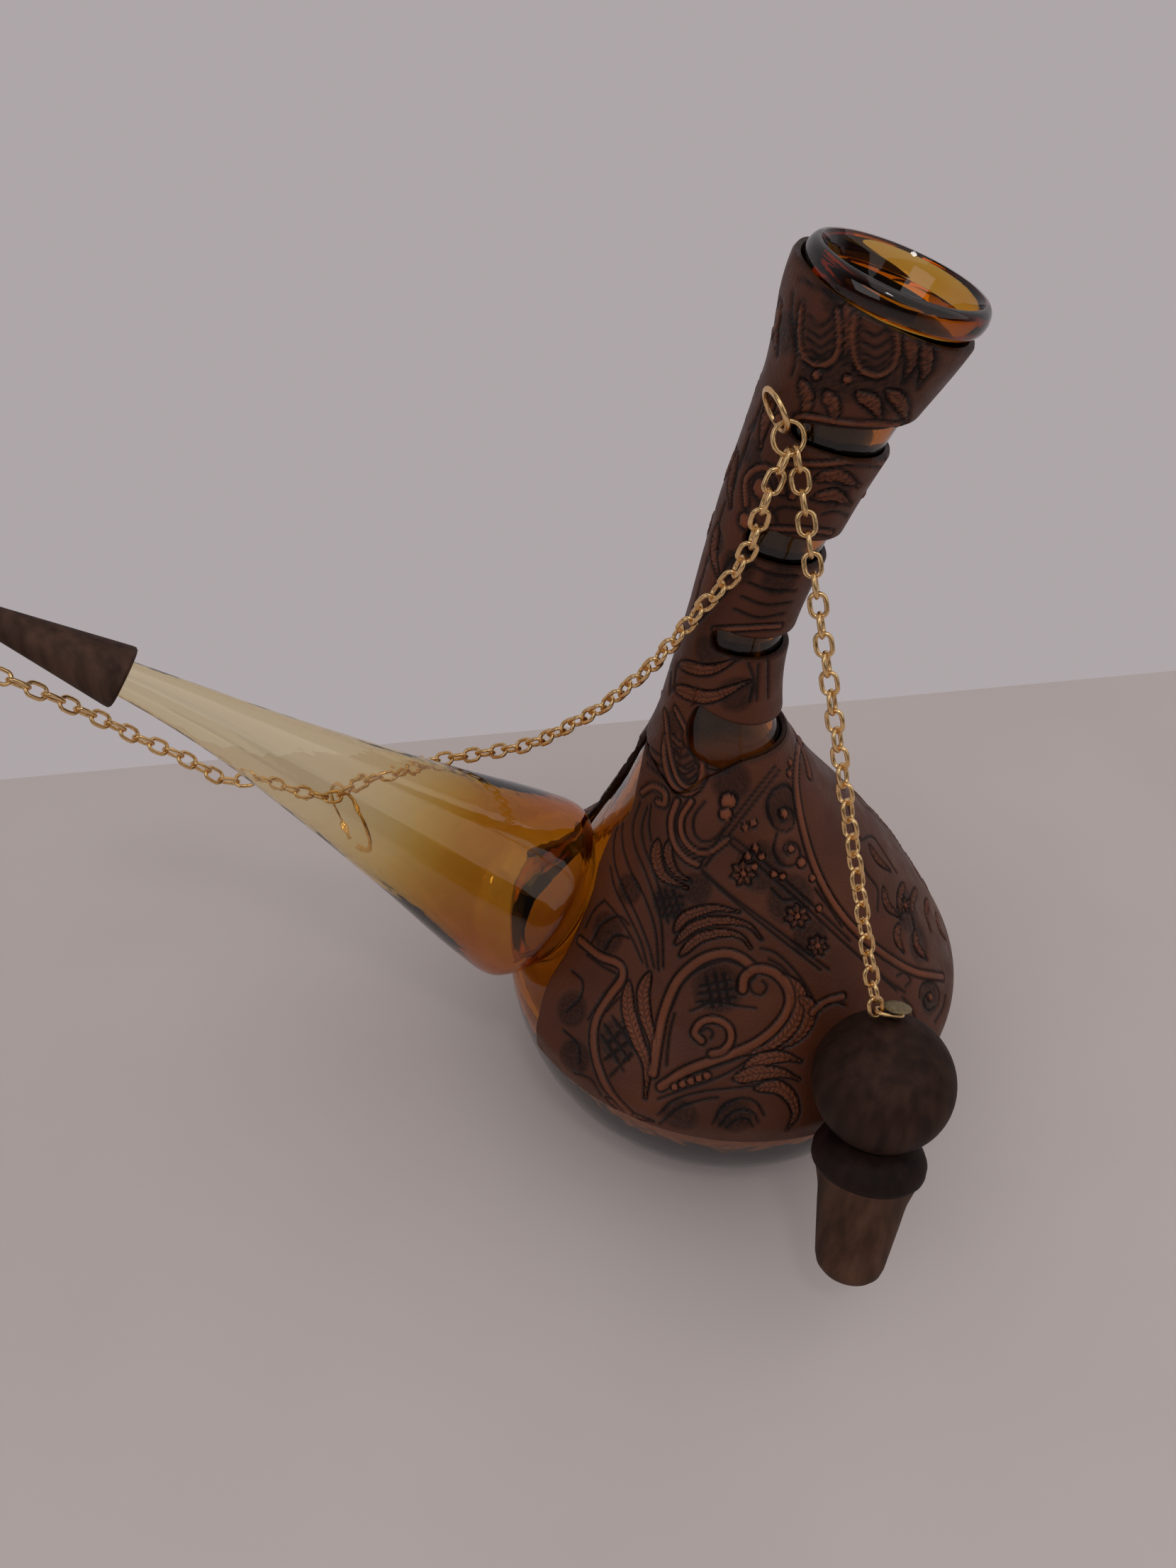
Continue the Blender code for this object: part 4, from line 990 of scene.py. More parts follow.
def edge_drop(distance):
    """How far a leather surface falls away near its cut edge."""
    u = np.clip(1 - distance / EDGE_ROUND, 0, 1)
    return EDGE_DROP * (1 - np.sqrt(np.clip(1 - u * u, 0, 1)))


def raw_mesh(name, verts, quads, tool, mat, weld):
    """A mesh from lists of arrays of points and quads, with a darkness value for each point."""
    verts = np.concatenate(verts).astype(np.float32)
    quads = np.concatenate(quads).astype(np.int32)
    mesh = bpy.data.meshes.new(name)
    mesh.vertices.add(len(verts))
    mesh.vertices.foreach_set("co", verts.ravel())
    mesh.loops.add(quads.size)
    mesh.loops.foreach_set("vertex_index", quads.ravel())
    mesh.polygons.add(len(quads))
    mesh.polygons.foreach_set("loop_start", np.arange(len(quads), dtype=np.int32) * 4)
    layer = mesh.attributes.new("tool", 'FLOAT', 'POINT')
    layer.data.foreach_set("value", np.concatenate(tool).astype(np.float32))
    mesh.materials.append(mat)
    mesh.update(calc_edges=True)
    mesh.validate()
    if weld:
        bm = bmesh.new()
        bm.from_mesh(mesh)
        bmesh.ops.remove_doubles(bm, verts=bm.verts, dist=WELD)
        bmesh.ops.dissolve_degenerate(bm, edges=bm.edges, dist=WELD)
        bm.to_mesh(mesh)
        bm.free()
    return shaded(name, mesh, 40.0)


def sheet_layers(t, phi, lift):
    """Inner and outer points of a leather sheet over places t, phi."""
    inner = cover(t, phi, 0.0 * lift)
    outer = cover(t, phi, LEATHER - RELIEF_SINK + lift)
    return [inner.reshape(-1, 3), outer.reshape(-1, 3)]


def sheet_quads(index):
    """A sheet's outer and inner quads; index holds its inner points, and the outer ones follow them."""
    size = index.size
    a, b, c, d = index[:-1, :-1], index[:-1, 1:], index[1:, 1:], index[1:, :-1]
    return [np.stack([a + size, b + size, c + size, d + size], -1).reshape(-1, 4),
            np.stack([d, c, b, a], -1).reshape(-1, 4)]


def edge_quads(p, q, size):
    """Quads across a sheet's thickness between neighbouring points of its edge."""
    return np.stack([p, q, q + size, p + size], -1)


def sheet_shade(tool, edge):
    """The darkness values of a sheet's inner and outer points; cut edges are darker."""
    outer = tool.reshape(edge.shape) * np.clip(EDGE_SHADE + edge / EDGE_SHADE_RUN, 0, 1)
    return [np.full(edge.size, INNER_SHADE), outer.ravel()]


def belly_piece(mat):
    """The tooled jacket of the belly."""
    t, phi = belly_grid()
    rows, cols = t.shape
    flat = cover(t, phi)
    tooling = Tooling(flat.reshape(-1, 3))
    tool_cover(tooling)
    height, tool = tooling.height(np.random.default_rng(3).random(rows * cols))
    i = np.arange(rows)[:, None]
    j = np.arange(cols)[None, :]
    width = np.linalg.norm(flat[:, 1:] - flat[:, :-1], axis=-1).mean(1)[:, None]
    edge = np.minimum(np.minimum(i, rows - 1 - i) * LEATHER_STEP, np.minimum(j, cols - 1 - j) * width)
    verts = sheet_layers(t, phi, height.reshape(rows, cols) - edge_drop(edge))
    index = np.arange(t.size).reshape(rows, cols)
    quads = sheet_quads(index)
    for line in (index[0, :], index[:, -1], index[-1, ::-1], index[::-1, 0]):
        quads.append(edge_quads(line[:-1], line[1:], t.size))
    piece = raw_mesh("belly_jacket", verts, quads, sheet_shade(tool, edge), mat, False)
    placed(piece, "vessel", "tooled_leather", "belly_cover")


def sleeve_piece(mat):
    """The tooled jacket of the neck, with its windows."""
    bands = sleeve_grids()
    tooling = Tooling(np.concatenate([cover(t, phi).reshape(-1, 3) for t, phi in bands]))
    tool_cover(tooling)
    height, tool = tooling.height(np.random.default_rng(5).random(len(tooling.cut_layer)))
    verts, quads, tools = [], [], []
    start = 0
    for k, (t, phi) in enumerate(bands):
        rows, cols = t.shape
        size = rows * cols
        span = np.linalg.norm(np.diff(skin(t, phi), axis=0), axis=-1)
        run = np.concatenate([np.zeros((1, cols)), np.cumsum(span, 0)])
        open_low = np.ones(cols, bool) if k == 0 else (t[0] - bands[k - 1][0][-1]) > 1e-5
        open_high = np.ones(cols, bool) if k == len(bands) - 1 else (bands[k + 1][0][0] - t[-1]) > 1e-5
        low = np.where(open_low[None, :], run, FAR_FROM_EDGE)
        high = np.where(open_high[None, :], run[-1][None, :] - run, FAR_FROM_EDGE)
        edge = np.minimum(low, high)
        here = slice(start, start + size)
        verts += sheet_layers(t, phi, height[here].reshape(rows, cols) - edge_drop(edge))
        tools += sheet_shade(tool[here], edge)
        index = np.arange(size).reshape(rows, cols) + 2 * start
        quads += sheet_quads(index)
        need = open_low[:-1] | open_low[1:]
        quads.append(edge_quads(index[0, :-1][need], index[0, 1:][need], size))
        need = open_high[:-1] | open_high[1:]
        quads.append(edge_quads(index[-1, 1:][need], index[-1, :-1][need], size))
        start += size
    piece = raw_mesh("neck_jacket", verts, quads, tools, mat, True)
    placed(piece, "vessel", "tooled_leather", "neck_sleeve")


def belly_view(points):
    """Pixels of the photograph from points read off an enlarged view of its belly."""
    return [(VIEW_LEFT + x * VIEW_SCALE, VIEW_TOP + y * VIEW_SCALE) for x, y in points]


# The pattern's strokes, each with its sizes in metres. Belly strokes are in pixels of an enlarged view of
# the belly, and neck strokes in pixels of the photograph
VIEW_LEFT = 760
VIEW_TOP = 1040
VIEW_SCALE = 0.3827
PETALS = 7
PETAL_WIDTH = 0.000022
DAISY_HEART = 0.0009
BELLY_STRAPS = [
    (0.0008, [(466, 0), (460, 60), (472, 132), (498, 184), (540, 207), (582, 188), (608, 132), (588, 80),
        (552, 28), (538, 0)]),
    (0.0007, [(560, 238), (524, 300), (530, 370), (575, 420), (632, 424), (695, 378)]),
    (0.0008, [(508, 238), (486, 310), (498, 392), (540, 446), (584, 470)]),
    (0.001, [(962, 0), (950, 130), (956, 230), (978, 345), (1020, 480), (1082, 602), (1160, 702),
        (1262, 792), (1380, 862), (1490, 884)]),
    (0.0011, [(150, 748), (222, 806), (296, 838), (306, 890), (262, 952), (214, 1030), (200, 1112),
        (214, 1204), (256, 1300), (330, 1380)]),
    (0.0012, [(420, 1240), (440, 1110), (462, 1010), (510, 900), (590, 826), (676, 798), (740, 812),
        (790, 850)]),
    (0.0012, [(752, 930), (760, 884), (806, 856), (866, 868), (914, 916), (926, 980), (896, 1046),
        (836, 1106), (760, 1150), (650, 1190), (540, 1232), (450, 1290)]),
    (0.0009, [(600, 1120), (574, 1090), (602, 1050), (652, 1042), (700, 1070), (708, 1118), (680, 1156),
        (636, 1168)]), (0.0009, [(1012, 1016), (1056, 978), (1120, 958)]),
    (0.0008, [(380, 205), (420, 182), (462, 206), (462, 246), (436, 240)]),
]
BELLY_LEAVES = [
    (0.0013, 0.0012, [(500, 720), (540, 664), (640, 632), (740, 646)]),
    (0.0012, 0.0012, [(502, 762), (570, 700), (668, 676), (770, 694), (822, 746)]),
    (0.0012, 0.0012, [(520, 806), (590, 742), (684, 722), (748, 738), (782, 778)]),
    (0.0017, 0.0016, [(438, 380), (432, 450), (462, 516), (545, 558)]),
    (0.0012, 0.0014, [(478, 384), (476, 440), (504, 500), (556, 530)]),
    (0.002, 0.0018, [(330, 900), (328, 1000), (360, 1110), (398, 1210), (392, 1330)]),
    (0.0018, 0.0018, [(408, 868), (384, 940), (392, 1030), (418, 1120), (420, 1220)]),
    (0.0022, 0.0018, [(900, 880), (956, 940), (960, 1010), (926, 1080), (850, 1140), (730, 1178)]),
    (0.0018, 0.0018, [(964, 962), (1002, 996), (990, 1060), (950, 1112), (884, 1152)]),
    (0.002, 0.0016, [(760, 1220), (840, 1186), (910, 1180), (968, 1196)]),
    (0.002, 0.0016, [(720, 1262), (810, 1240), (900, 1240), (960, 1262)]),
    (0.0018, 0.0016, [(800, 1296), (880, 1290), (932, 1330), (948, 1392), (918, 1446)]),
    (0.0014, 0.0016, [(250, 1330), (330, 1386), (420, 1416)]),
    (0.0012, 0.002, [(1272, 556), (1286, 620), (1330, 660)]),
    (0.0011, 0.002, [(1346, 540), (1330, 600), (1340, 668)]),
    (0.0011, 0.002, [(1392, 560), (1376, 620), (1384, 690)]),
    (0.0011, 0.002, [(1434, 600), (1428, 650), (1444, 710)]),
    (0.0013, 0.002, [(1330, 690), (1322, 740), (1346, 792)]),
    (0.0013, 0.002, [(1388, 712), (1396, 770), (1432, 818)]),
    (0.0011, 0.002, [(1466, 650), (1476, 700), (1500, 744)]),
    (0.0011, 0.002, [(1220, 400), (1250, 450), (1296, 492)]),
]
BELLY_CUTS = [
    [(492, 18), (516, 42), (546, 26)], [(490, 48), (520, 76), (558, 56)],
    [(494, 80), (526, 108), (568, 88)], [(502, 110), (534, 138), (576, 116)],
    [(514, 142), (544, 164), (578, 144)], [(612, 0), (650, 28), (700, 48), (765, 58)],
    [(598, 12), (640, 48), (700, 72), (758, 80)], [(606, 44), (646, 72), (700, 90), (740, 92)],
    [(616, 82), (654, 100), (712, 106)], [(640, 0), (690, 22), (760, 36)],
    [(620, 118), (656, 124), (700, 122)], [(400, 26), (430, 56), (456, 74)],
    [(396, 60), (428, 94), (456, 110)], [(398, 96), (432, 130), (468, 150)],
    [(612, 240), (574, 290), (572, 350), (604, 386), (650, 374), (690, 330)],
    [(588, 478), (720, 300), (872, 108)], [(612, 476), (738, 314), (888, 124)],
    [(588, 478), (700, 578), (880, 712), (1070, 858)], [(604, 502), (720, 606), (880, 736), (1040, 860)],
    [(700, 388), (840, 500), (1000, 640), (1130, 762), (1320, 935)],
    [(716, 370), (852, 480), (1012, 620), (1150, 752)],
    [(852, 300), (844, 240), (872, 190), (915, 176), (944, 206)],
    [(848, 286), (872, 334), (915, 346), (944, 316), (936, 272), (904, 258), (884, 282), (900, 306)],
    [(880, 352), (868, 416), (894, 468), (938, 474), (966, 438), (952, 396), (920, 388), (904, 414),
        (920, 436)], [(350, 215), (312, 300), (308, 400), (340, 500), (392, 600), (430, 720), (440, 860)],
    [(372, 240), (346, 320), (352, 400), (388, 490), (424, 590), (452, 700), (458, 850)],
    [(398, 260), (378, 330), (386, 400), (416, 480), (446, 570), (470, 660)],
    [(330, 250), (282, 350), (276, 450), (306, 550), (360, 660), (404, 770), (424, 850)],
    [(262, 480), (280, 560), (330, 660), (376, 760), (400, 850)],
    [(240, 600), (290, 660), (340, 740), (380, 830)], [(412, 250), (404, 320), (412, 380)],
    [(440, 575), (474, 684)], [(465, 566), (496, 664)], [(492, 566), (516, 640)], [(436, 600), (530, 588)],
    [(444, 632), (526, 618)], [(450, 662), (508, 650)],
    [(484, 1010), (530, 910), (604, 852), (690, 826), (762, 852)], [(470, 1210), (480, 1100), (500, 1020)],
    [(800, 884), (778, 912), (792, 944), (824, 950), (842, 922), (826, 900)], [(598, 920), (704, 898)],
    [(590, 948), (714, 930)], [(582, 978), (722, 962)], [(618, 884), (642, 1000)], [(650, 872), (672, 992)],
    [(682, 876), (702, 984)], [(560, 1010), (640, 980), (720, 990), (800, 1000)],
    [(600, 1086), (622, 1074), (642, 1092), (634, 1112)],
    [(440, 1334), (530, 1302), (640, 1264), (720, 1226), (764, 1196)],
    [(452, 1292), (560, 1246), (680, 1206), (760, 1176)],
    [(642, 1424), (680, 1362), (742, 1332), (802, 1346), (832, 1394)],
    [(666, 1434), (704, 1392), (752, 1374), (794, 1388), (810, 1420)],
    [(690, 1440), (730, 1410), (770, 1408), (790, 1436)],
    [(440, 1392), (500, 1338), (600, 1308), (700, 1296), (800, 1286)],
    [(446, 1426), (520, 1366), (610, 1336), (660, 1330)],
    [(176, 800), (236, 846), (282, 872), (276, 900), (230, 960), (180, 1040)],
    [(246, 1010), (290, 966), (330, 948)], [(240, 1060), (330, 1190)], [(230, 1100), (310, 1230)],
    [(270, 1030), (344, 1140)], [(330, 1060), (250, 1130)], [(344, 1110), (240, 1190)],
    [(340, 1170), (262, 1250)], [(170, 700), (200, 640), (240, 600)],
    [(190, 760), (230, 690), (290, 660), (330, 690)], [(240, 780), (280, 730), (330, 740)],
    [(120, 860), (160, 900), (150, 960), (100, 1010)], [(90, 1080), (140, 1130), (150, 1200)],
    [(130, 1240), (190, 1260), (230, 1320)], [(1190, 380), (1230, 366), (1270, 420), (1320, 500)],
    [(1180, 420), (1210, 500), (1250, 560), (1250, 640)], [(1020, 560), (1080, 640), (1120, 700)],
    [(1140, 240), (1160, 330), (1190, 380)], [(1320, 880), (1350, 868), (1372, 896), (1352, 920)],
    [(1404, 960), (1412, 914), (1450, 902), (1476, 940), (1468, 990), (1436, 1004), (1420, 970),
        (1440, 944)], [(1340, 960), (1370, 990), (1390, 1040)], [(1236, 850), (1290, 900), (1350, 940)],
    [(1460, 1050), (1490, 1000), (1500, 950)], [(1040, 1000), (1090, 980), (1130, 990)],
    [(860, 560), (900, 600), (950, 600)], [(820, 780), (880, 800), (960, 880), (1010, 960)],
    [(850, 820), (900, 850), (950, 910)],
]
BELLY_BOSSES = [
    (0.0021, 700, 238), (0.0017, 690, 284), (0.0014, 970, 462), (0.001, 796, 478), (0.001, 822, 442),
    (0.001, 800, 410), (0.001, 772, 440), (0.001, 868, 506), (0.001, 900, 514), (0.001, 762, 332),
    (0.001, 792, 318), (0.001, 928, 94), (0.001, 924, 132), (0.0012, 906, 282), (0.0011, 932, 412),
    (0.0011, 500, 1290), (0.0011, 530, 1279), (0.0011, 560, 1268), (0.0011, 590, 1258), (0.0011, 620, 1248),
    (0.0012, 1444, 958), (0.001, 1034, 632), (0.001, 1010, 520),
]
BELLY_DAISIES = [
    (755, 503, 46), (955, 662, 44), (1352, 620, 26), (1030, 770, 36),
]
BELLY_GROUND = [
    (0.0062, 712, 168), (0.008, 820, 480), (0.008, 930, 600), (0.007, 900, 250), (0.006, 480, 610),
    (0.008, 660, 930), (0.007, 290, 1120), (0.007, 250, 720), (0.008, 1360, 640), (0.007, 1400, 760),
    (0.006, 720, 1400), (0.006, 520, 1400), (0.006, 1000, 740), (0.005, 580, 560), (0.006, 120, 1000),
    (0.006, 130, 1180), (0.006, 1440, 960), (0.005, 330, 560),
]
NECK_STRAPS = [
    (0.0006, [(1130, 432), (1127, 478), (1136, 506), (1157, 516), (1177, 505), (1184, 478), (1181, 440)]),
    (0.0006, [(1206, 446), (1203, 490), (1213, 521), (1236, 531), (1257, 520), (1267, 494), (1263, 458)]),
    (0.0007, [(1052, 712), (1052, 676), (1072, 660), (1096, 668), (1104, 694)]),
    (0.0006, [(1112, 655), (1160, 656), (1200, 652), (1246, 654)]),
    (0.0006, [(1122, 590), (1150, 590), (1200, 598), (1268, 600)]),
    (0.0006, [(1008, 889), (1050, 887), (1100, 884)]),
    (0.0006, [(1060, 762), (1080, 748), (1130, 748), (1172, 752)]),
    (0.0006, [(938, 1004), (944, 1060), (956, 1100), (974, 1112), (990, 1094), (986, 1058), (966, 1028),
        (952, 1000)]),
]
NECK_LEAVES = [
    (0.0013, 0.0014, [(1192, 424), (1197, 470), (1190, 512)]),
    (0.0015, 0.0014, [(1128, 536), (1138, 562), (1132, 592)]),
    (0.0015, 0.0014, [(1163, 552), (1176, 576), (1174, 600)]),
    (0.0015, 0.0014, [(1208, 556), (1232, 570), (1244, 594)]),
    (0.0014, 0.0014, [(1252, 552), (1272, 570), (1280, 596)]),
    (0.0014, 0.0014, [(1280, 470), (1288, 506), (1276, 540)]),
    (0.0014, 0.0014, [(1306, 486), (1308, 520), (1296, 548)]),
    (0.0015, 0.0012, [(958, 938), (1000, 946), (1042, 930)]),
    (0.0018, 0.0012, [(952, 972), (1000, 984), (1058, 962)]),
    (0.0015, 0.0014, [(1090, 560), (1078, 596), (1072, 632)]),
    (0.0014, 0.0014, [(1040, 640), (1030, 680), (1030, 716)]),
    (0.0015, 0.0014, [(1150, 676), (1180, 672), (1212, 686)]),
    (0.0014, 0.0014, [(1146, 704), (1176, 700), (1200, 712)]),
    (0.0013, 0.0014, [(1100, 425), (1094, 462), (1096, 500)]),
    (0.0013, 0.0014, [(1012, 740), (1006, 780), (1014, 820)]),
]
NECK_CUTS = [
    [(1140, 446), (1156, 460), (1173, 448)], [(1138, 461), (1156, 476), (1174, 463)],
    [(1138, 477), (1156, 491), (1174, 479)], [(1143, 493), (1157, 503), (1170, 494)],
    [(1213, 460), (1233, 474), (1254, 462)], [(1211, 477), (1233, 491), (1256, 479)],
    [(1213, 494), (1234, 507), (1255, 496)], [(1218, 509), (1235, 519), (1250, 510)],
    [(1128, 392), (1180, 420), (1250, 448), (1340, 472)],
    [(1118, 412), (1116, 450), (1122, 500), (1116, 530)], [(1060, 770), (1030, 790), (1006, 832)],
    [(1064, 796), (1030, 812), (1000, 852)], [(1064, 800), (1092, 812), (1126, 814)],
    [(1056, 822), (1086, 834), (1122, 834)], [(1046, 842), (1080, 854), (1116, 850)],
    [(1036, 860), (1070, 872), (1106, 866)], [(1030, 830), (1000, 862), (980, 884)],
    [(1062, 780), (1040, 786), (1022, 800)], [(1100, 790), (1126, 796), (1146, 794)],
    [(1070, 938), (1068, 988)], [(1084, 930), (1084, 984)], [(1056, 936), (1064, 962), (1058, 990)],
    [(990, 1040), (1010, 1052), (1040, 1056)], [(948, 1036), (960, 1046), (972, 1038)],
    [(950, 1056), (964, 1068), (980, 1058)], [(954, 1074), (968, 1086), (984, 1074)],
    [(960, 1092), (972, 1100), (984, 1090)], [(1046, 560), (1036, 600), (1026, 650)],
    [(1066, 520), (1058, 556), (1052, 590)], [(1010, 664), (1002, 700), (996, 740)],
    [(984, 760), (978, 800), (974, 840)], [(1160, 726), (1180, 722), (1196, 728)],
    [(940, 900), (946, 940), (944, 980)], [(1084, 728), (1104, 716), (1140, 722)],
    [(1070, 712), (1090, 720), (1096, 740)],
]
NECK_BOSSES = [
    (0.0024, 1074, 690), (0.002, 1052, 736), (0.001, 1150, 530), (0.001, 1194, 536), (0.001, 1098, 590),
    (0.001, 1230, 690), (0.001, 1118, 700),
]
NECK_GROUND = [
    (0.005, 1150, 532), (0.005, 1200, 540), (0.004, 1180, 420), (0.005, 1300, 520), (0.005, 1110, 470),
    (0.005, 1040, 800), (0.005, 1100, 820), (0.005, 1000, 920), (0.006, 1040, 980), (0.004, 1060, 640),
    (0.006, 1250, 560), (0.004, 1180, 700), (0.004, 1010, 700), (0.004, 950, 1020),
]


def tooling_strokes():
    """Every stroke of the pattern as (kind, points on the leather, sizes), worked out once."""
    if "strokes" in PATTERN:
        return PATTERN["strokes"]
    strokes = PATTERN["strokes"] = []

    def add(kind, rows, view, per_span=5):
        """Add rows of sizes and points; a row with one point is a spot."""
        for *sizes, points in rows:
            points = view(points)
            if len(points) == 1:
                x, y = points[0]
                line = surface_line([(x, y), (x + 1, y), (x + 2, y)], 1)[0]
            else:
                line = surface_line(points, per_span)
            strokes.append((kind, line, sizes))

    def add_both(kind, belly_rows, neck_rows):
        add(kind, belly_rows, belly_view)
        add(kind, neck_rows, list)

    def spots(rows):
        return [(size, [(x, y)]) for size, x, y in rows]

    add_both("ground", spots(BELLY_GROUND), spots(NECK_GROUND))
    add_both("cut", [(points,) for points in BELLY_CUTS], [(points,) for points in NECK_CUTS])
    for x, y, reach in BELLY_DAISIES:
        petals = []
        for k in range(PETALS):
            angle = 2 * math.pi * (k + 0.2) / PETALS
            way = np.array([math.cos(angle), math.sin(angle)]) * reach
            line = [(x + way[0] * share, y + way[1] * share) for share in (0.28, 0.64, 1)]
            petals.append((reach * PETAL_WIDTH, 1.0, 0.0, 0.00028, 0.8, False, line))
        add("leaf", petals, belly_view, 3)
        add("boss", [(DAISY_HEART, [(x, y)])], belly_view)
    add_both("leaf", BELLY_LEAVES, NECK_LEAVES)
    add_both("strap", BELLY_STRAPS, NECK_STRAPS)
    add_both("boss", spots(BELLY_BOSSES), spots(NECK_BOSSES))
    return strokes


def tool_cover(work):
    """Cut the pattern into one of the leather jackets."""
    for kind, line, sizes in tooling_strokes():
        getattr(work, kind)(line, *sizes)


def ring_tube(name, centre, normal, across, radius, mat, gap=0.0):
    """A round wire ring, whole or with a gap opposite its first direction."""
    other = normal.cross(across)
    points = []
    for k in range(RING_STEPS + (1 if gap else 0)):
        angle = math.pi + gap / 2 + (2 * math.pi - gap) * k / RING_STEPS
        points.append(centre + (across * math.cos(angle) + other * math.sin(angle)) * radius)
    count = len(points)
    rings = []
    side = None
    for i, p in enumerate(points):
        before = p if gap and i == 0 else points[i - 1]
        after = p if gap and i == count - 1 else points[(i + 1) % count]
        along = (after - before).normalized()
        side = along.orthogonal() if side is None else side - along * side.dot(along)
        side.normalize()
        rings.append(circle(p, side, along.cross(side), RING_WIRE / 2, RING_SIDES))
    return loft(name, rings, mat, 50, not gap)


def placed(piece, body, slot, *nodes):
    """Hide the parts a piece replaces and attach it to the body it rides on."""
    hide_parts(*nodes)
    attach(piece, body)


def nail_piece(name, surface, inward, radius, stand, mat):
    """A headed nail with a softly domed head."""
    dome = ((1.0, 0.20), (0.97, 0.55), (0.80, 0.85), (0.45, 0.99), (0.15, 0.99), (0.0, 0.93))
    head = [(-stand - NAIL_HEAD * height, radius * share) for height, share in dome]
    shank = [(-stand, NAIL_RADIUS), (NAIL_LENGTH - 0.002, NAIL_RADIUS), (NAIL_LENGTH, 0.0002)]
    return turned(name, surface, inward, head + shank, mat, 40, 45)


def stopper_pieces(wood, dark_wood, plug_wood, brass, gold):
    """Ball, collar, plug, nail and the link under the nail; returns the link's far bar."""
    down = stopper_axis()
    middle = ball_centre()
    turns = [math.pi * k / 48 for k in range(2, 45)]
    ball = [(-BALL_RADIUS * math.cos(turn), BALL_RADIUS * math.sin(turn)) for turn in turns]
    placed(turned("ball", middle, down, ball, wood, 96), "stopper", "turned_wood", "stopper_ball")
    rim = COLLAR_RADIUS
    profile = [(COLLAR_TOP, rim * 0.72), (COLLAR_TOP + 0.0013, rim * 0.84), (COLLAR_TOP + 0.0025, rim * 0.93),
               (COLLAR_TOP + 0.0045, rim * 0.990), (COLLAR_TOP + 0.0051, rim), (COLLAR_BOTTOM - 0.0016, rim),
               (COLLAR_BOTTOM - 0.0008, rim * 0.985), (COLLAR_BOTTOM - 0.0002, rim * 0.955),
               (COLLAR_BOTTOM, rim * 0.93)]
    placed(turned("collar", middle, down, profile, dark_wood, 96, 35),
           "stopper", "dark_wood", "stopper_collar")
    start = COLLAR_BOTTOM + FIT
    end = start + PLUG_LENGTH
    stations = [(start, PLUG_TOP_RADIUS), (start + PLUG_LENGTH * 0.10, PLUG_TOP_RADIUS * 0.93),
                (start + PLUG_LENGTH * 0.24, PLUG_WAIST_RADIUS * 1.06),
                (start + PLUG_LENGTH * 0.42, PLUG_WAIST_RADIUS),
                (end - PLUG_LENGTH * 0.14, PLUG_END_RADIUS)]
    profile = smooth_profile(stations, 24) + [(end - PLUG_LENGTH * 0.07, PLUG_END_RADIUS * 0.93),
                                              (end - PLUG_LENGTH * 0.025, PLUG_END_RADIUS * 0.80),
                                              (end, PLUG_END_RADIUS * 0.55)]
    placed(turned("plug", middle, down, profile, plug_wood, 80, 45), "stopper", "turned_wood", "stopper_plug")
    top = middle - down * BALL_RADIUS
    placed(nail_piece("ball_nail", top, down, NAIL_HEAD_RADIUS, NAIL_STAND, brass),
           "stopper", "dull_brass", "stopper_nail")
    place, far_bar, bar_wire = nail_link_place(NAIL_LINK_HALF, top, down, BALL_LINK_TOWARD,
                                               NAIL_LINK_LIFT, NAIL_LINK_TILT)
    placed(link_mesh("ball_link", [place], NAIL_LINK_HALF, LINK_WIDTH, gold),
           "stopper_link", "gilt_wire", "stopper_nail_link")
    return far_bar, bar_wire


def cap_pieces(wood, brass, gold):
    """The spout's cap, its nail and the link under it; returns the link's far bar."""
    mouth_place = SPOUT_END - SOCKET_DEPTH + FIT
    mouth, along = spout_frame(mouth_place)
    slope = (CAP_MOUTH_RADIUS - CAP_TIP_RADIUS) / CAP_LENGTH
    profile = []
    for share in (0.0, 0.3, 0.65, 1.0):
        inside = float(smooth_value(SPOUT_RADII, mouth_place + (1 - share) * SOCKET_DEPTH)) + FIT
        profile.append(((1 - share) * SOCKET_DEPTH, inside))
    profile += [(0.0, CAP_MOUTH_RADIUS - CAP_EDGE), (CAP_EDGE * 0.12, CAP_MOUTH_RADIUS - CAP_EDGE * 0.45),
                (CAP_EDGE * 0.45, CAP_MOUTH_RADIUS - CAP_EDGE * 0.13),
                (CAP_EDGE, CAP_MOUTH_RADIUS - slope * CAP_EDGE),
                (CAP_LENGTH * 0.5, CAP_MOUTH_RADIUS - slope * CAP_LENGTH * 0.5),
                (CAP_LENGTH - 0.0012, CAP_TIP_RADIUS + slope * 0.0012),
                (CAP_LENGTH - 0.0004, CAP_TIP_RADIUS - 0.0003), (CAP_LENGTH, CAP_TIP_RADIUS - 0.0009)]
    placed(turned("cap", mouth, along, profile, wood, 72, 40), "spout_cap", "turned_wood", "spout_cap")
    tip = mouth + along * CAP_LENGTH
    placed(nail_piece("tip_nail", tip, -along, CAP_NAIL_HEAD_RADIUS, CHAIN_WIRE + 2 * FIT, brass),
           "spout_cap", "dull_brass", "cap_nail")
    place, far_bar, bar_wire = nail_link_place(CAP_NAIL_LINK_HALF, tip, -along, CAP_LINK_TOWARD,
                                               CHAIN_WIRE / 2 + FIT, 0.0)
    placed(link_mesh("cap_link_wire", [place], CAP_NAIL_LINK_HALF, LINK_WIDTH, gold),
           "cap_link", "gilt_wire", "cap_nail_link")
    return far_bar, bar_wire


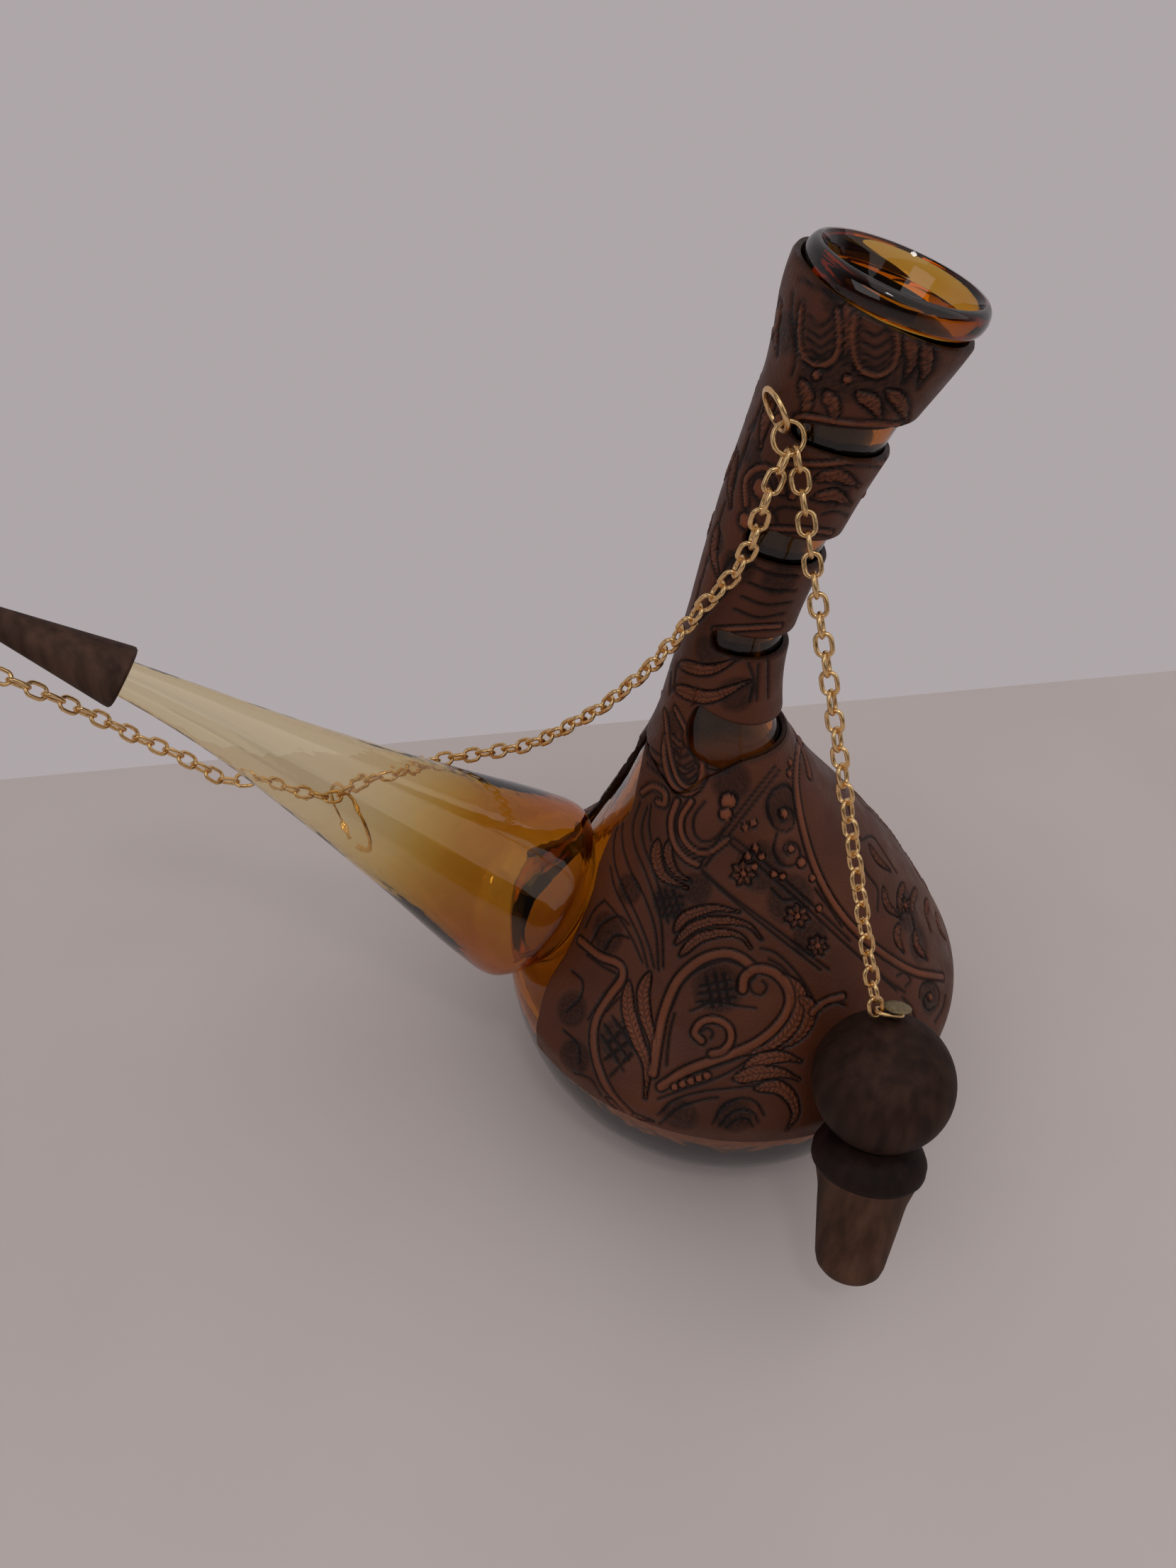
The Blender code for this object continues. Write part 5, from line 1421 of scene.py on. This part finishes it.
def chains_and_rings(stopper_bar, stopper_wire, cap_bar, cap_wire, gold):
    """The neck ring, its carrier link, the two chains and the spare ring."""
    centre, normal, across = neck_ring_frame()
    placed(ring_tube("pierced_ring", centre, normal, across, NECK_RING_RADIUS, gold),
           "neck_ring", "gilt_wire", "neck_ring")
    hook, wire = ring_hook(STOPPER_CHAIN_HOOK)
    along = (stopper_bar - hook).normalized()
    flat = (wire - along * along.dot(wire)).normalized()
    half = (CARRIER_LENGTH - CHAIN_WIRE) / 2
    reach = RING_WIRE / 2 + CHAIN_WIRE / 2 + FIT
    middle = hook + along * (half - reach)
    placed(link_mesh("carrier", [(middle, along, flat)], half, CARRIER_WIDTH, gold),
           "vessel", "gilt_wire", "carrier_link")
    low = middle + along * half
    bar = flat.cross(along).normalized()
    start = low + bar * CARRIER_SPREAD
    route = [start, start.lerp(stopper_bar, 0.33), start.lerp(stopper_bar, 0.66), stopper_bar]
    places, half = chain_places(route, bar, stopper_wire)
    placed(link_mesh("stopper_links", places, half, LINK_WIDTH, gold),
           "stopper_chain", "gilt_wire", "stopper_chain")
    route = [low - bar * CARRIER_SPREAD] + [Vector(p) for p in CAP_CHAIN_ROUTE] + [cap_bar]
    places, half = chain_places(route, bar, cap_wire)
    piece = link_mesh("cap_links", places, half, LINK_WIDTH, gold)
    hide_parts("cap_chain")
    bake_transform(piece)
    lowest = sorted(places, key=lambda p: p[0].z)[:3]
    centre, _, through = min(lowest, key=lambda p: abs(p[2].z))
    level = Vector((through.x, through.y, 0)).normalized()
    top = centre - Vector((0, 0, (LINK_WIDTH - CHAIN_WIRE) / 2 - CHAIN_WIRE / 2 - FIT - RING_WIRE / 2))
    middle = top - Vector((0, 0, SPARE_RING_RADIUS))
    normal = level.cross(Vector((0, 0, -1)))
    placed(ring_tube("loose_ring", middle, normal, Vector((0, 0, 1)), SPARE_RING_RADIUS, gold,
                     SPARE_RING_GAP), "spare_ring", "gilt_wire", "spare_ring")


def make_stage():
    """The pale floor, as far as the photograph's wall."""
    left = floor_point(0, WALL_LINE_LEFT)
    right = floor_point(PHOTO_W, WALL_LINE_RIGHT)
    edge = (right - left).normalized()
    front = Vector((edge.y, -edge.x, 0)) * FLOOR_DEPTH
    far_left = left - edge * FLOOR_MARGIN
    far_right = right + edge * FLOOR_MARGIN
    mat, tree, shader = new_material("pale_floor")
    color, _ = noise_ramp(tree, 6.0, 4.0, 0.3, 0.7, FLOOR_DARK, FLOOR_LIGHT)
    fill(tree, shader, {"Base Color": color, "Roughness": 0.75})
    verts = [far_left, far_right, far_right + front, far_left + front]
    mesh_object("floor", verts, [(3, 2, 1, 0)], mat)


def make_world():
    """An even pale room; camera, gloss and glass see its wall, darker behind the camera."""
    world = bpy.data.worlds.new("pale_room")
    bpy.context.scene.world = world
    world.use_nodes = True
    tree = world.node_tree
    plain = tree.nodes["Background"]
    fill(tree, plain, {"Color": (*WORLD_LIGHT, 1), "Strength": WORLD_LEVEL})
    way = new_node(tree, "TexCoord", {}).outputs["Generated"]
    split = new_node(tree, "SeparateXYZ", {0: way})
    ahead = new_node(tree, "MapRange", {"From Min": ROOM_EDGE[0], "From Max": ROOM_EDGE[1],
                                        "Value": split.outputs["Y"]})
    path = new_node(tree, "LightPath", {})

    def larger(first, second):
        return new_node(tree, "Math", {0: first, 1: second}, operation='MAXIMUM').outputs[0]

    seen = path.outputs["Is Camera Ray"]
    room = new_node(tree, "Mix", {"A": (*ROOM_BEHIND, 1), "B": (*WALL_COLOR, 1),
                                  "Factor": larger(seen, ahead.outputs["Result"])}, data_type='RGBA')
    wall = new_node(tree, "Background", {"Color": room.outputs["Result"]})
    most_too = larger(larger(seen, path.outputs["Is Glossy Ray"]), path.outputs["Is Transmission Ray"])
    mix = new_node(tree, "MixShader", {0: most_too, 1: plain.outputs[0], 2: wall.outputs[0]})
    fill(tree, tree.nodes["World Output"], {"Surface": mix.outputs[0]})


def make_lamps():
    """Soft studio lamps that face the part."""
    for name, place, power, size, color in LAMPS:
        data = bpy.data.lights.new(name, 'AREA')
        data.energy = power
        data.size = size
        data.color = color
        way = (LAMPS_FACE - Vector(place)).normalized()
        turn = way.to_track_quat('-Z', 'Y').to_matrix().to_4x4()
        linked(name, data).matrix_world = Matrix.Translation(place) @ turn


make_camera()
bpy.context.scene.view_settings.view_transform = 'Standard'
glass = glass_material()
leather = leather_material()
ball_wood = wood_material("ball_wood", (0.0145, 0.0064, 0.0042), (0.034, 0.0155, 0.0100))
collar_wood = wood_material("collar_wood", (0.0085, 0.0040, 0.0031), (0.018, 0.0090, 0.0070))
plug_wood = wood_material("plug_wood", (0.033, 0.0150, 0.0090), (0.076, 0.0360, 0.0215))
cap_wood = wood_material("cap_wood", (0.024, 0.0120, 0.0082), (0.060, 0.0310, 0.0215))
gold = metal_material("gilt_wire", (0.88, 0.60, 0.30), (0.70, 0.44, 0.19), 0.24)
brass = metal_material("dull_brass", (0.30, 0.24, 0.13), (0.20, 0.15, 0.08), 0.42)
glass_piece(glass)
belly_piece(leather)
sleeve_piece(leather)
far_bar, far_wire = stopper_pieces(ball_wood, collar_wood, plug_wood, brass, gold)
tip_bar, tip_wire = cap_pieces(cap_wood, brass, gold)
chains_and_rings(far_bar, far_wire, tip_bar, tip_wire, gold)
make_stage()
make_world()
make_lamps()
